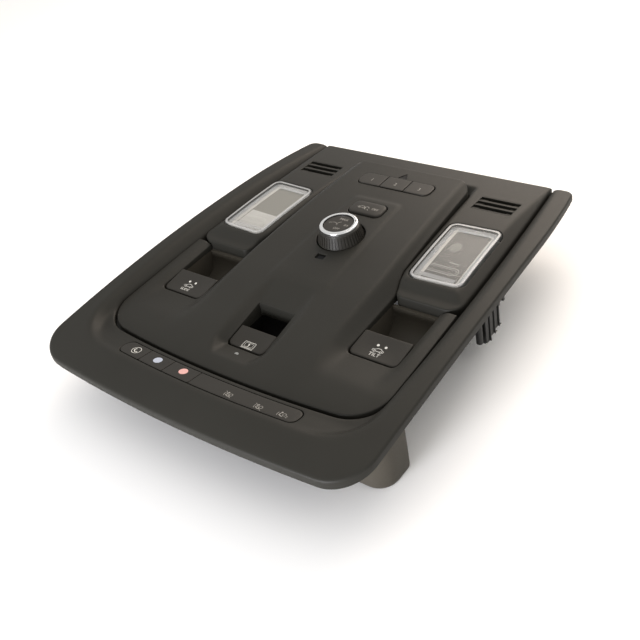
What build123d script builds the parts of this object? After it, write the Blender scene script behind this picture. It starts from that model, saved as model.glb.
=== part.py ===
from build123d import *
import math
import os

# Overhead console for a vehicle roof, lying on its back with its face up. Millimetres.
# +X is the tilt-switch side, +Y runs from the windscreen edge to the rear edge, +Z leaves the face.
# The origin is the middle of the footprint, at the level of the feet of the housings.

os.makedirs("parts", exist_ok=True)

# Overall size and levels
LENGTH = 298.5
HALF_LENGTH = LENGTH / 2
RIM_LEVEL = 45.0
FEET = 0.0
REACH = 200.0
HIGH = 80.0

# Bezel rim: plan of the outer edge and its crowned height
RIM_FRONT_HALF = 130.4
RIM_FRONT_BOW = 5.75
RIM_SIDE_HALF = 127.8
RIM_SIDE_Y = -1.5
RIM_SHOULDER_HALF = 124.0
RIM_SHOULDER_Y = 79.0
RIM_REAR_HALF = 115.8
RIM_CORNER_R = 30.0
RIM_REAR_R = 7.0
RIM_FRONT_Z = RIM_LEVEL - 4.0
RIM_KNEE = (27.25 - HALF_LENGTH, RIM_LEVEL + 0.8)
RIM_TOP = (22.0, RIM_LEVEL + 6.5)
RIM_REAR_Z = RIM_LEVEL + 0.6
RIM_WALL = 2.5
RIM_SKIN = 2.5
RIM_EDGE_R = 1.5
LIP_HEIGHT = 4.5
LIP_STEP = 1.2
LIP_DROP = 7.5

# Console opening in the bezel, its ledge and the front dish
OPENING_FRONT_Y = 42.25 - HALF_LENGTH
OPENING_FRONT_HALF = 111.6
OPENING_BOW = 6.9
OPENING_MID_HALF = 109.4
OPENING_MID_Y = 12.0
OPENING_REAR_HALF = 99.9
OPENING_R = 26.0
OPENING_WALL = 2.5
FRONT_WALL = 1.5
LEDGE_TOP = 37.5
LEDGE_THICK = 3.0
LEDGE_WIDTH = 6.0
LEDGE_BASE = LEDGE_TOP - LEDGE_THICK
DISH_DEPTH = 17.5
DISH_FLOOR_FRONT = (24.25 - HALF_LENGTH, RIM_LEVEL - 0.3)
DISH_FLOOR_REAR = (42.75 - HALF_LENGTH, RIM_LEVEL - 3.8)
DISH_SKIN = 3.0
SLOPE_FOOT = RIM_LEVEL - 0.7
SLOPE_RUN = 12.0
SLOPE_SKIN_GROW = 1.5

# Seams between the panels
SEAM = 0.7
FRONT_GAP = 2.0
PANEL_SKIN = 2.8
PANEL_WALL = 3.0
PANEL_HEM = 7.0

# Lamp panel: crowned height, nose over the finger wells, outer bevel, groove round the neck
LAMP_CROWN_REAR = (HALF_LENGTH, RIM_LEVEL + 0.6)
LAMP_CROWN_MID = (54.0, RIM_LEVEL + 6.1)
LAMP_CROWN_FRONT = (12.5, RIM_LEVEL + 5.1)
NOSE_FALL = (6.5, RIM_LEVEL + 1.1)
NOSE_EDGE = (-0.75, RIM_LEVEL + 0.5)
NOSE_CHAMFER = 9.5
BEVEL_FOOT = RIM_LEVEL + 0.3
BEVEL_RISE = 10.0
BEVEL_RUN = 16.0
LAMP_VOID_INSET = 8.5
GROOVE_FOOT = RIM_LEVEL - 0.5
GROOVE_RISE = 8.0
GROOVE_SIDE = 3.2
GROOVE_REAR = 10.5

# Neck of the centre panel
NECK_REAR_Y = HALF_LENGTH - 25.75
NECK_REAR_HALF = 50.9
NECK_R = 12.0
NECK_FLARE_HALF = 57.2
NECK_FLARE_Y = 20.0
PANEL_BACK_Y = -1.6
CROWN_FRONT = (43.25 - HALF_LENGTH, RIM_LEVEL - 4.6)
CROWN_MID = (5.0, RIM_LEVEL + 7.7)
CROWN_REAR = (HALF_LENGTH - 48.25, RIM_LEVEL + 10.6)
PAD_RISE = 0.6
PAD_REAR_Y = 78.0
PAD_REAR_HALF = 20.0
PAD_FRONT_Y = -24.0
PAD_FRONT_HALF = 24.0
SCOOP_STRIP = 4.5
CREASE_MARGIN = 1.0

# Sunroof switch wells
WELL_INNER = 62.4
WELL_OUTER = 98.2
WELL_FRONT_Y = -54.9
ROCKER_GAP = 0.5
ROCKER_EDGE_R = 0.8
ROCKER_FRONT_Y = -53.7
ROCKER_REAR_Y = -33.0
ROCKER_FRONT_Z = RIM_LEVEL - 4.8
ROCKER_REAR_Z = RIM_LEVEL - 2.7
ROCKER_PIVOT = (-45.0, 33.5)
ROCKER_LIP = 7.0
ROCKER_PLATE = 3.0
CHEEK = 2.5
PIVOT_BOSS_R = 3.6
PIN_R = 1.5
PIN_CLEARANCE = 0.06
WELL_WALL = 2.2
WELL_BASE = 17.0
WELL_FLOOR = 19.5
WELL_TOP = 38.4
WELL_BACK_Y = -1.2
WELL_SWEEP = 14.0
WELL_MARGIN = 0.9
SEAT_GAP = 0.1
TOWER_TOP = 38.0
TOWER_INNER = 62.0
TOWER_FRONT_Y = -80.25
TOWER_REAR_Y = -56.0
TOWER_OUTER = 102.6
TOWER_R = 9.0
TOWER_WALL = 2.0
TOWER_BOARD_Z = 20.0
TOWER_RIB_FRONT_Y = -74.0
TOWER_BOARD_R = 3.0

# Sunshade switch well
SHADE_HALF = 15.2
SHADE_FRONT_Y = -79.9
SHADE_BACK_Y = -43.0
SHADE_ROCKER_FRONT_Y = -78.8
SHADE_ROCKER_REAR_Y = -62.5
SHADE_ROCKER_FRONT_Z = RIM_LEVEL - 6.4
SHADE_ROCKER_REAR_Z = RIM_LEVEL - 3.6
SHADE_PIVOT = (-71.5, 31.6)
SHADE_WELL_TOP = 34.6
SHADE_COLLAR = 2.0
SHADE_BOARD_Z = 21.0
SHADE_BOARD_REAR_Y = -64.0
SWITCH_SIZE = 8.0
SWITCH_HEIGHT = 4.0
SCOOP_REAR_Y = -20.0
SCOOP_FRONT_Y = -94.0
SCOOP_MARGIN = 0.3
SCOOP_OVER = 0.6

# Map lamps
LENS_X = 80.65
LENS_Y = 47.75
LENS_WIDTH = 39.3
LENS_LENGTH = 65.0
LENS_TURN = 2.8
LENS_R = 6.5
LENS_GAP = 0.5
LENS_PROUD = 0.3
LENS_SKIN = 2.2
LENS_BASE = RIM_LEVEL - 1.0
LENS_TRAVEL = 1.5
LAMP_BASE = 24.0
LAMP_WALL = 1.8
LAMP_CLEAR = 0.6
LAMP_OUTER = LAMP_CLEAR + LAMP_WALL
LENS_WALL = 1.6
HOOK_Y = 18.0
HOOK_OUT = 1.0
HOOK_LENGTH = 6.0
HOOK_HEIGHT = 1.2
HOOK_CLEAR = 0.4
REFLECTOR_TOP = LENS_BASE - LENS_TRAVEL - 0.4
REFLECTOR_BASE = 31.0
BOARD_THICK = 1.6
BOARD_EDGE = 1.0
LAMP_BOARD_Z = 27.0
LAMP_POST_X = 28.0
LAMP_POST_Y = 52.0
LAMP_POST_R = 2.0
REFLECTOR_FLOOR = 1.5
REFLECTOR_RIM = 1.4
REFLECTOR_TAPER = 9.0
REFLECTOR_HOLE_R = 4.0
LED_SIZE = 5.0
LED_HEIGHT = 1.5

# Microphone grilles
GRILLE_X = 76.6
GRILLE_WIDTH = 20.7
GRILLE_POCKET = 30.0
GRILLE_REAR_Y = HALF_LENGTH - 31.65
GRILLE_PITCH = 5.9
GRILLE_SLOT = 2.6
GRILLE_DEPTH = 1.8
GRILLE_COUNT = 3
GRILLE_BAR = 0.6
MICROPHONE_R = 5.0
MICROPHONE_BASE = 41.5

# Transmitter buttons, override button and windows on the neck
STRIP_HALF = 30.6
STRIP_FRONT_Y = HALF_LENGTH - 55.45
STRIP_REAR_Y = HALF_LENGTH - 41.05
STRIP_R = 5.0
STRIP_COUNT = 3
BUTTON_GAP = 0.5
BUTTON_PROUD = 0.6
BUTTON_BASE = 50.4
BUTTON_FLANGE = 1.2
BUTTON_FLANGE_OUT = 1.0
BUTTON_WALL = 1.2
BUTTON_SKIN = 1.8
OVERRIDE_Y = 64.4
OVERRIDE_HALF = 13.6
OVERRIDE_DEPTH = 15.0
OVERRIDE_R = 5.0
OVERRIDE_PROUD = 2.0
BUTTON_TRAVEL = 1.2
STEM_R = 2.0
ARROW_Y = STRIP_REAR_Y + 3.8
ARROW_SIDE = 7.0
SENSOR_Y = 6.9
SENSOR_WIDTH = 6.5
SENSOR_DEPTH = 5.0
WINDOW_GAP = 0.2
WINDOW_SUNK = 0.4
WINDOW_THICK = 3.6
PIPE_R = 0.9
PIPE_Y = ARROW_Y - 1.6
SENSOR_PIPE = 3.0

# Mode knob
KNOB_Y = 31.0
KNOB_HOLE_R = 17.2
KNOB_BASE_R = 16.4
KNOB_TOP_R = 14.0
KNOB_BASE_Z = 53.2
KNOB_SHOULDER_Z = 62.6
KNOB_INNER_R = 12.2
KNOB_RIBS = 44
RIB_DEPTH = 0.5
RIB_WIDTH = 1.0
RING_R = 13.4
RING_INNER_R = 10.9
RING_TOP_Z = 65.1
CAP_R = 10.5
CAP_BASE_Z = 62.0
CAP_TOP_Z = 64.3
CAP_STEM_R = 5.0
CAP_TRAVEL = 1.0
GUIDE_R = 9.5
GUIDE_BORE_R = 5.3
GUIDE_TOP_Z = 60.6
HUB_CLEARANCE = 0.1
HUB_THICK = 2.4
HUB_BASE_Z = 58.0
CAP_STEM_END = 47.4
ENCODER_FLOOR = 46.0

# Centre module under the neck
TRAY_HALF = 44.0
TRAY_FRONT_Y = 1.0
TRAY_REAR_Y = HALF_LENGTH - 35.75
TRAY_TOP = 48.2
TRAY_FLOOR = 31.0
TRAY_WALL = 2.0
DEEP_HALF = 37.0
DEEP_FRONT_Y = 64.0
BOARD_Z = 42.0
MAT_THICK = 1.2
DOME_R = 3.4
DOME_HEIGHT = 1.2
MAT_HALF = 33.0
MAT_FRONT_Y = 54.0
MAT_REAR_Y = TRAY_REAR_Y - 5.5
ENCODER_SIZE = 22.0
ENCODER_TOP = 50.0
TRAY_R = 3.0
TRAY_POST_X = 38.8
TRAY_POST_R = 2.2
TRAY_POST_YS = (8.0, 58.0, TRAY_REAR_Y - 7.5)
TRAY_BOARD_GAP = 0.2
STEM_END = BOARD_Z + BOARD_THICK + MAT_THICK + DOME_HEIGHT + BUTTON_TRAVEL + 0.5

# Front button row in the dish
ROW_HALF = 73.6
ROW_FRONT_Y = 25.85 - HALF_LENGTH
ROW_REAR_Y = 39.05 - HALF_LENGTH
ROW_BOW = 3.0
ROW_R = 5.0
ROW_SPLITS = (-52.2, -29.9, -6.4)
ROW_GAP = 0.4
ROW_PROUD = 0.2
ROW_BUTTON_BASE = 38.6
ROW_TRAVEL = 1.0
ROW_MODULE_BASE = 23.0
ROW_MODULE_WALL = 1.4
ROW_BOARD_Z = 29.5
ROW_STEM_CLEAR = 0.4
ROW_WALL = 1.2
ROW_SKIN = 1.8
ROW_BOARD_GAP = 0.3
ROW_STEM_END = ROW_BOARD_Z + BOARD_THICK + MAT_THICK + DOME_HEIGHT + ROW_TRAVEL + ROW_STEM_CLEAR
ROW_POST_XS = (-60.0, -20.0, 20.0, 60.0)
ROW_LIGHT_XS = (24.0, 48.0, 63.0)
ROW_EAR_X = 79.5
ROW_EAR_Y = ROW_REAR_Y - 3.6
ROW_EAR_TOP = 34.0
ROW_EAR_BOSS_TOP = 41.0

# Side brackets, rear clip towers, screws and sockets
BRACKET_FRONT_Y = 14.0
BRACKET_REAR_Y = 50.0
BRACKET_INNER = 104.4
BRACKET_OUTER = 114.0
BRACKET_BASE = 22.0
BRACKET_POST_R = 3.4
BRACKET_POST_BASE = 19.0
BRACKET_RIBS = 4
REAR_TOWER_X = 45.0
REAR_TOWER_Y = HALF_LENGTH - 6.05
REAR_TOWER_BASE = 9.0
CLIP_THICK = 0.8
CLIP_WIDTH = 9.0
SCREW_HEAD_R = 3.2
SCREW_HEAD = 2.2
SCREW_R = 1.5
SCREW_LENGTH = 8.0
BOSS_R = 3.4
EAR_THICK = 2.4
EAR_HOLE_R = SCREW_R + 0.3
EAR_X = 55.6
EAR_YS = (-20.0, -44.0)
SHADE_EAR_YS = (-86.0, -37.0)
TRAY_EARS = ((48.5, 20.0, TRAY_HALF, 20.0), (28.0, TRAY_REAR_Y + 3.5, 28.0, TRAY_REAR_Y))
TRAY_EAR_TOP = 42.4
CLIP_HEIGHT = 14.0
CLIP_BULGE = 1.6
POST_CLIP_WIDTH = 4.0
TOWER_DEPTH = 6.4
TOWER_MARGIN = 1.5
BRACKET_PLATE = 3.0
BRACKET_RIB = 1.8
BRACKET_WEB = 2.0
BRACKET_POST_Y = 18.0
BRACKET_POST_X = 110.2
POST_CLIP_HEIGHT = 11.0
SOCKET_WIDTH = 24.0
SOCKET_HEIGHT = 11.0
SOCKET_DEPTH = 10.0
SOCKET_WALL = 1.4
SOCKET_PINS = 5
SOCKET_PITCH = 3.5
SOCKET_PIN = 0.8
SOCKET_PIN_LENGTH = 3.4
CENTRE_SOCKET_Z = 6.0
TOWER_SOCKET_Z = 4.0
ROW_SOCKET_Z = 23.2


def arc_height(front, middle, rear, y):
    """Height of the arc through three (y, z) points."""
    (a, b), (c, d), (e, f) = front, middle, rear
    det = 4 * ((c - a) * (f - b) - (e - a) * (d - b))
    p = c * c - a * a + d * d - b * b
    q = e * e - a * a + f * f - b * b
    centre_y = 2 * (p * (f - b) - q * (d - b)) / det
    centre_z = 2 * (q * (c - a) - p * (e - a)) / det
    radius = math.hypot(a - centre_y, b - centre_z)
    return centre_z + math.sqrt(radius**2 - (y - centre_y) ** 2)


def crown(y):
    """Height of the centre panel on its middle line."""
    return arc_height(CROWN_FRONT, CROWN_MID, CROWN_REAR, y)


def lamp_crown(y):
    """Height of the lamp panel."""
    return arc_height(LAMP_CROWN_FRONT, LAMP_CROWN_MID, LAMP_CROWN_REAR, y)


def dish_floor(y):
    """Height of the sloping floor in the front dish."""
    (front_y, front_z), (rear_y, rear_z) = DISH_FLOOR_FRONT, DISH_FLOOR_REAR
    return front_z + (y - front_y) * (rear_z - front_z) / (rear_y - front_y)


def opening_half(y):
    """Half width of the console opening."""
    front = (OPENING_FRONT_Y + OPENING_BOW, OPENING_FRONT_HALF)
    return arc_height(front, (OPENING_MID_Y, OPENING_MID_HALF), (HALF_LENGTH, OPENING_REAR_HALF), y)


def front_corners(sketch, corner_y):
    """Sharp corners of an outline in front of a line, away from the middle."""
    return [v for v in sketch.vertices() if v.Y < corner_y and abs(v.X) > TRAY_HALF]


def rim_outline(grow, level):
    """Plan of the bezel's outer edge, grown by a distance."""
    with BuildSketch(Plane.XY.offset(level)) as outline:
        with BuildLine():
            front = TangentArc(
                (0, -HALF_LENGTH - grow),
                (RIM_FRONT_HALF + grow, -HALF_LENGTH + RIM_FRONT_BOW - grow),
                tangent=(1, 0),
            )
            side = ThreePointArc(
                front @ 1,
                (RIM_SIDE_HALF + grow, RIM_SIDE_Y),
                (RIM_SHOULDER_HALF + grow, RIM_SHOULDER_Y),
            )
            tail = TangentArc(side @ 1, (RIM_REAR_HALF + grow, HALF_LENGTH), tangent=side % 1)
            Line(tail @ 1, (0, HALF_LENGTH))
            mirror(about=Plane.YZ)
        make_face()
        fillet(front_corners(outline, OPENING_FRONT_Y), RIM_CORNER_R + grow)
        rear = [v for v in outline.vertices() if v.Y > HALF_LENGTH - 1 and abs(v.X) > TRAY_HALF]
        fillet(rear, RIM_REAR_R)
    return outline.sketch


def opening_outline(grow, reach, level, radius=OPENING_R, rear=HALF_LENGTH + RIM_WALL):
    """Plan of the console opening, grown sideways and towards the front edge."""
    corner_y = OPENING_FRONT_Y + OPENING_BOW - reach
    with BuildSketch(Plane.XY.offset(level)) as outline:
        with BuildLine():
            front = TangentArc(
                (0, OPENING_FRONT_Y - reach),
                (opening_half(corner_y) + grow, corner_y),
                tangent=(1, 0),
            )
            side = ThreePointArc(
                front @ 1,
                (OPENING_MID_HALF + grow, OPENING_MID_Y),
                (OPENING_REAR_HALF + grow, HALF_LENGTH),
            )
            behind = HALF_LENGTH + RIM_WALL
            Polyline(side @ 1, (OPENING_REAR_HALF + grow, behind), (0, behind))
            mirror(about=Plane.YZ)
        make_face()
        fillet(front_corners(outline, OPENING_FRONT_Y + OPENING_R), radius)
        if rear < HALF_LENGTH:
            with BuildSketch(Plane.XY.offset(level), mode=Mode.INTERSECT):
                with Locations((0, rear - LENGTH)):
                    Rectangle(2 * REACH, 2 * LENGTH)
    return outline.sketch


def side_profile(points):
    """Closed profile in the length and height plane."""
    with BuildSketch(Plane.YZ) as profile:
        with BuildLine():
            Polyline(*points, close=True)
        make_face()
    return profile.sketch


def under_arc(front, middle, rear, drop, base, lead=()):
    """Profile below an arc, with optional points that lead in from the front."""
    shifted = [(y, z - drop) for y, z in (front, middle, rear)]
    with BuildSketch(Plane.YZ) as profile:
        with BuildLine():
            ThreePointArc(*shifted)
            start = [shifted[0]] + [(y, z - drop) for y, z in lead]
            Polyline(shifted[2], (shifted[2][0], base), (start[-1][0], base), *reversed(start))
        make_face()
    return profile.sketch


def under_rim(drop, base):
    """Profile below the crowned rim, with its rounded fall to the front edge."""
    with BuildSketch(Plane.YZ) as profile:
        with BuildLine():
            back = ThreePointArc(
                (RIM_KNEE[0], RIM_KNEE[1] - drop),
                (RIM_TOP[0], RIM_TOP[1] - drop),
                (HALF_LENGTH + RIM_WALL, RIM_REAR_Z - drop),
            )
            nose = TangentArc(back @ 0, (-HALF_LENGTH, RIM_FRONT_Z - drop), tangent=(back % 0) * -1)
            Polyline(
                nose @ 1,
                (-HALF_LENGTH - RIM_WALL, RIM_FRONT_Z - drop),
                (-HALF_LENGTH - RIM_WALL, base),
                (HALF_LENGTH + RIM_WALL, base),
                back @ 1,
            )
        make_face()
    return profile.sketch


def under_crown(drop, base):
    """Profile below the centre panel's crown, extended to both ends of the console."""
    ends = (OPENING_FRONT_Y - DISH_DEPTH, HALF_LENGTH)
    return under_arc((ends[0], crown(ends[0])), CROWN_MID, (ends[1], crown(ends[1])), drop, base)


def under_lamp(drop, base, inset=0.0):
    """Profile below the lamp panel, with the fall of its nose."""
    rear = (HALF_LENGTH - inset, lamp_crown(HALF_LENGTH - inset))
    lead = (NOSE_FALL, (NOSE_EDGE[0] + inset, NOSE_EDGE[1]))
    return under_arc(LAMP_CROWN_FRONT, LAMP_CROWN_MID, rear, drop, base, lead)


def above_floor(drop):
    """Profile of the space over the dish floor."""
    rear = HALF_LENGTH
    front = OPENING_FRONT_Y - DISH_DEPTH - SLOPE_RUN
    return side_profile(
        [
            (front, dish_floor(front) - drop),
            (DISH_FLOOR_REAR[0], DISH_FLOOR_REAR[1] - drop),
            (rear, DISH_FLOOR_REAR[1] - drop),
            (rear, 2 * HIGH),
            (front, 2 * HIGH),
        ]
    )


def dish_space(grow, drop):
    """Space inside the rim: sloping sides all round and the dish in front of the panels."""
    foot = SLOPE_FOOT - drop
    reach = DISH_DEPTH + grow
    with BuildPart() as floor:
        extrude(opening_outline(grow, reach, LEDGE_BASE), amount=SLOPE_FOOT - LEDGE_BASE)
        extrude(above_floor(drop), amount=REACH, both=True, mode=Mode.INTERSECT)
    with BuildPart() as space:
        lower = opening_outline(grow, reach, foot)
        wide = grow + SLOPE_RUN
        upper = opening_outline(wide, reach + SLOPE_RUN, foot + SLOPE_RUN, OPENING_R + SLOPE_RUN)
        loft([lower, upper], ruled=True)
        add(floor.part)
    return space.part


def neck_outline(side, rear, level, radius=NECK_R):
    """Plan of the centre panel's neck, grown sideways and to the rear, down to the finger wells."""
    with BuildSketch(Plane.XY.offset(level)) as outline:
        with BuildLine():
            Polyline(
                (0, NECK_REAR_Y + rear),
                (NECK_REAR_HALF + side, NECK_REAR_Y + rear),
                (NECK_FLARE_HALF + side, NECK_FLARE_Y),
                (WELL_INNER + side, NOSE_EDGE[0] + CHEEK),
                (WELL_INNER + side, WELL_FRONT_Y),
                (0, WELL_FRONT_Y),
            )
            mirror(about=Plane.YZ)
        make_face()
        corners = [v for v in outline.vertices() if v.Y > NECK_FLARE_Y + 1 and abs(v.X) > STRIP_HALF]
        fillet(corners, radius)
    return outline.sketch


def across(points, y):
    """Closed profile across the console at a place along its length."""
    with BuildSketch(Plane((0, y, 0), x_dir=(1, 0, 0), z_dir=(0, -1, 0))) as section:
        with BuildLine():
            Polyline(*points, close=True)
        make_face()
    return section.sketch


def row_outline(grow, level):
    """Plan of the bowed front button row."""
    half = ROW_HALF + grow
    front_y = ROW_FRONT_Y - grow
    rear_y = ROW_REAR_Y + grow
    with BuildSketch(Plane.XY.offset(level)) as outline:
        with BuildLine():
            front = ThreePointArc((-half, front_y + ROW_BOW), (0, front_y), (half, front_y + ROW_BOW))
            rear = ThreePointArc((-half, rear_y + ROW_BOW), (0, rear_y), (half, rear_y + ROW_BOW))
            Line(front @ 0, rear @ 0)
            Line(front @ 1, rear @ 1)
        make_face()
        fillet(outline.vertices(), ROW_R + grow)
    return outline.sketch


def lens_place(level):
    """Working plane of the right map lamp, turned with the lens."""
    turn = math.radians(LENS_TURN)
    return Plane((LENS_X, LENS_Y, level), x_dir=(math.cos(turn), math.sin(turn), 0), z_dir=(0, 0, 1))


def lens_outline(grow, level):
    """Plan of the right map lamp, grown by a distance."""
    with BuildSketch(lens_place(level)) as outline:
        RectangleRounded(LENS_WIDTH + 2 * grow, LENS_LENGTH + 2 * grow, max(LENS_R + grow, LAMP_POST_R))
    return outline.sketch


def lens_hooks(grow, level):
    """Plan of the four hooks on the skirt of the right lens."""
    with BuildSketch(lens_place(level)) as outline:
        with GridLocations(LENS_WIDTH, 2 * HOOK_Y, 2, 2):
            Rectangle(2 * (HOOK_OUT + grow), HOOK_LENGTH + 2 * grow)
    return outline.sketch


def lamp_posts(level):
    """Plan of the four posts under the right lamp board and reflector."""
    with BuildSketch(lens_place(level)) as outline:
        with GridLocations(LAMP_POST_X, LAMP_POST_Y, 2, 2):
            Circle(LAMP_POST_R)
    return outline.sketch


def lamp_form(drop, base):
    """Outer form of the lamp panel, lowered by a distance."""
    with BuildPart() as form:
        extrude(opening_outline(-SEAM, -FRONT_GAP, base), amount=BEVEL_FOOT - drop - base)
        low = opening_outline(-SEAM, -FRONT_GAP, BEVEL_FOOT - drop)
        high = opening_outline(-SEAM - BEVEL_RUN, -FRONT_GAP, BEVEL_FOOT + BEVEL_RISE - drop)
        loft([low, high], ruled=True)
        extrude(under_lamp(drop, FEET), amount=REACH, both=True, mode=Mode.INTERSECT)
    return form.part


def block_outline(x0, x1, y0, y1, level, radius=0.0):
    """Upright rectangle between two corners."""
    with BuildSketch(Plane.XY.offset(level)) as outline:
        with Locations(((x0 + x1) / 2, (y0 + y1) / 2)):
            if radius > 0:
                RectangleRounded(x1 - x0, y1 - y0, radius)
            else:
                Rectangle(x1 - x0, y1 - y0)
    return outline.sketch


def round_outline(x, y, radius, level):
    """Circle about an upright axis."""
    with BuildSketch(Plane.XY.offset(level)) as outline:
        with Locations((x, y)):
            Circle(radius)
    return outline.sketch


def arrow_outline(grow, level):
    """Triangular window that points to the rear."""
    with BuildSketch(Plane.XY.offset(level)) as outline:
        with Locations((0, ARROW_Y)):
            Triangle(c=ARROW_SIDE + 3 * grow, b=ARROW_SIDE + 3 * grow, a=ARROW_SIDE + 3 * grow)
    return outline.sketch


def ear_plan(x, y, root_x, root_y, level):
    """Plan of a screw ear that grows out of a wall."""
    with BuildSketch(Plane.XY.offset(level)) as outline:
        with Locations(((x + root_x) / 2, (y + root_y) / 2)):
            Rectangle(abs(root_x - x) or 2 * BOSS_R, abs(root_y - y) or 2 * BOSS_R)
        with Locations((x, y)):
            Circle(BOSS_R)
            Circle(EAR_HOLE_R, mode=Mode.SUBTRACT)
    return outline.sketch


def tower_outline(inset, level):
    """Plan of the tower in front of the right sunroof well, with round front corners."""
    middle = (TOWER_FRONT_Y + TOWER_REAR_Y) / 2
    with BuildSketch(Plane.XY.offset(level)) as outline:
        with Locations(((TOWER_INNER + TOWER_OUTER) / 2, middle)):
            Rectangle(TOWER_OUTER - TOWER_INNER - 2 * inset, TOWER_REAR_Y - TOWER_FRONT_Y - 2 * inset)
        fillet([v for v in outline.vertices() if v.Y < middle], TOWER_R - inset)
    return outline.sketch


def pivot_circle(pivot, radius):
    """Circle round a rocker's pivot, in the length and height plane."""
    with BuildSketch(Plane.YZ) as outline:
        with Locations(pivot):
            Circle(radius)
    return outline.sketch


def rocker_solid(x0, x1, front, rear, pivot):
    """Hollow rocker: sloping top plate, rear finger lip, side cheeks and bored pivot bosses."""
    lip_end = (rear[0], rear[1] - ROCKER_LIP)
    body = side_profile(
        [
            front,
            rear,
            lip_end,
            (lip_end[0] - CHEEK, lip_end[1]),
            (pivot[0] + PIVOT_BOSS_R, pivot[1]),
            (pivot[0] - PIVOT_BOSS_R, pivot[1]),
            (front[0], front[1] - ROCKER_PLATE - ROCKER_EDGE_R),
        ]
    )
    inside = side_profile(
        [
            (front[0] + CHEEK, front[1] - ROCKER_PLATE),
            (rear[0] - CHEEK, rear[1] - ROCKER_PLATE),
            (rear[0] - CHEEK, WELL_BASE),
            (front[0] + CHEEK, WELL_BASE),
        ]
    )
    with BuildPart() as rocker:
        extrude(body.moved(Location((x0, 0, 0))), amount=x1 - x0)
        top_face = rocker.faces().sort_by(Axis.Z)[-1]
        fillet(top_face.edges(), ROCKER_EDGE_R)
        extrude(pivot_circle(pivot, PIVOT_BOSS_R).moved(Location((x0, 0, 0))), amount=x1 - x0)
        extrude(inside.moved(Location((x0 + CHEEK, 0, 0))), amount=x1 - x0 - 2 * CHEEK, mode=Mode.SUBTRACT)
        bore = pivot_circle(pivot, PIN_R + PIN_CLEARANCE).moved(Location((x0, 0, 0)))
        extrude(bore, amount=x1 - x0, mode=Mode.SUBTRACT)
    return rocker.part


def bucket(x0, x1, y0, y1, top, pivot):
    """Finger well: open box whose floor sweeps up to the rear wall, with holes for the rocker's pin."""
    front_y = y0 + WELL_WALL
    rear_y = y1 - WELL_WALL
    swept = (rear_y, WELL_FLOOR + WELL_SWEEP)
    with BuildSketch(Plane.YZ) as space:
        with BuildLine():
            sweep = TangentArc((rear_y - WELL_SWEEP, WELL_FLOOR), swept, tangent=(1, 0))
            Polyline(swept, (rear_y, HIGH), (front_y, HIGH), (front_y, WELL_FLOOR), sweep @ 0)
        make_face()
    with BuildPart() as box:
        extrude(block_outline(x0, x1, y0, y1, WELL_BASE, WELL_WALL), amount=top - WELL_BASE)
        space_width = x1 - x0 - 2 * WELL_WALL
        inner_space = space.sketch.moved(Location((x0 + WELL_WALL, 0, 0)))
        extrude(inner_space, amount=space_width, mode=Mode.SUBTRACT)
        extrude(pivot_circle(pivot, PIN_R).moved(Location((x0, 0, 0))), amount=x1 - x0, mode=Mode.SUBTRACT)
    return box.part


def pin_solid(x0, x1, pivot):
    """Plain pin from wall to wall of a finger well."""
    with BuildPart() as pin:
        extrude(pivot_circle(pivot, PIN_R).moved(Location((x0, 0, 0))), amount=x1 - x0)
    return pin.part


def row_y(x):
    """Middle of the bowed front row at a place across the console."""
    return (ROW_FRONT_Y + ROW_REAR_Y) / 2 + ROW_BOW * (x / ROW_HALF) ** 2


def row_key(x0, x1, stems, stem_end):
    """Key of the front row between two places: crowned skin, skirt and stems."""
    with BuildPart() as pocket:
        extrude(row_outline(-ROW_GAP - ROW_WALL, ROW_BUTTON_BASE), amount=HIGH)
        inside = block_outline(x0 + ROW_WALL, x1 - ROW_WALL, -REACH, FEET, ROW_BUTTON_BASE)
        extrude(inside, amount=HIGH, mode=Mode.INTERSECT)
        extrude(above_floor(ROW_SKIN - ROW_PROUD), amount=REACH, both=True, mode=Mode.SUBTRACT)
    with BuildPart() as key:
        extrude(row_outline(-ROW_GAP, ROW_BUTTON_BASE), amount=HIGH)
        extrude(block_outline(x0, x1, -REACH, FEET, ROW_BUTTON_BASE), amount=HIGH, mode=Mode.INTERSECT)
        extrude(above_floor(-ROW_PROUD), amount=REACH, both=True, mode=Mode.SUBTRACT)
        add(pocket.part, mode=Mode.SUBTRACT)
        for stem_x in stems:
            stem = round_outline(stem_x, row_y(stem_x), STEM_R, stem_end)
            extrude(stem, amount=dish_floor(row_y(stem_x)) - ROW_SKIN / 2 - stem_end)
    return key.part


def neck_key(x0, x1, y0, y1, round_half, corner_r, top):
    """Key in the neck: skin, skirt, retaining flanges front and rear, and one stem."""
    stem_x = (x0 + x1) / 2
    stem_y = (y0 + y1) / 2
    ceiling = crown(stem_y) + top - BUTTON_SKIN
    with BuildPart() as key:
        extrude(block_outline(-round_half, round_half, y0, y1, BUTTON_BASE, corner_r), amount=HIGH)
        extrude(block_outline(x0, x1, y0, y1, BUTTON_BASE), amount=HIGH, mode=Mode.INTERSECT)
        extrude(under_crown(-top, FEET), amount=REACH, both=True, mode=Mode.INTERSECT)
        flange = block_outline(
            x0 + corner_r, x1 - corner_r, y0 - BUTTON_FLANGE_OUT, y1 + BUTTON_FLANGE_OUT, BUTTON_BASE
        )
        extrude(flange, amount=BUTTON_FLANGE)
        inside = block_outline(
            x0 + BUTTON_WALL,
            x1 - BUTTON_WALL,
            y0 + BUTTON_WALL,
            y1 - BUTTON_WALL,
            BUTTON_BASE,
            corner_r - BUTTON_WALL,
        )
        extrude(inside, amount=ceiling - BUTTON_BASE, mode=Mode.SUBTRACT)
        extrude(round_outline(stem_x, stem_y, STEM_R, STEM_END), amount=ceiling - STEM_END)
    return key.part


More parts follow.
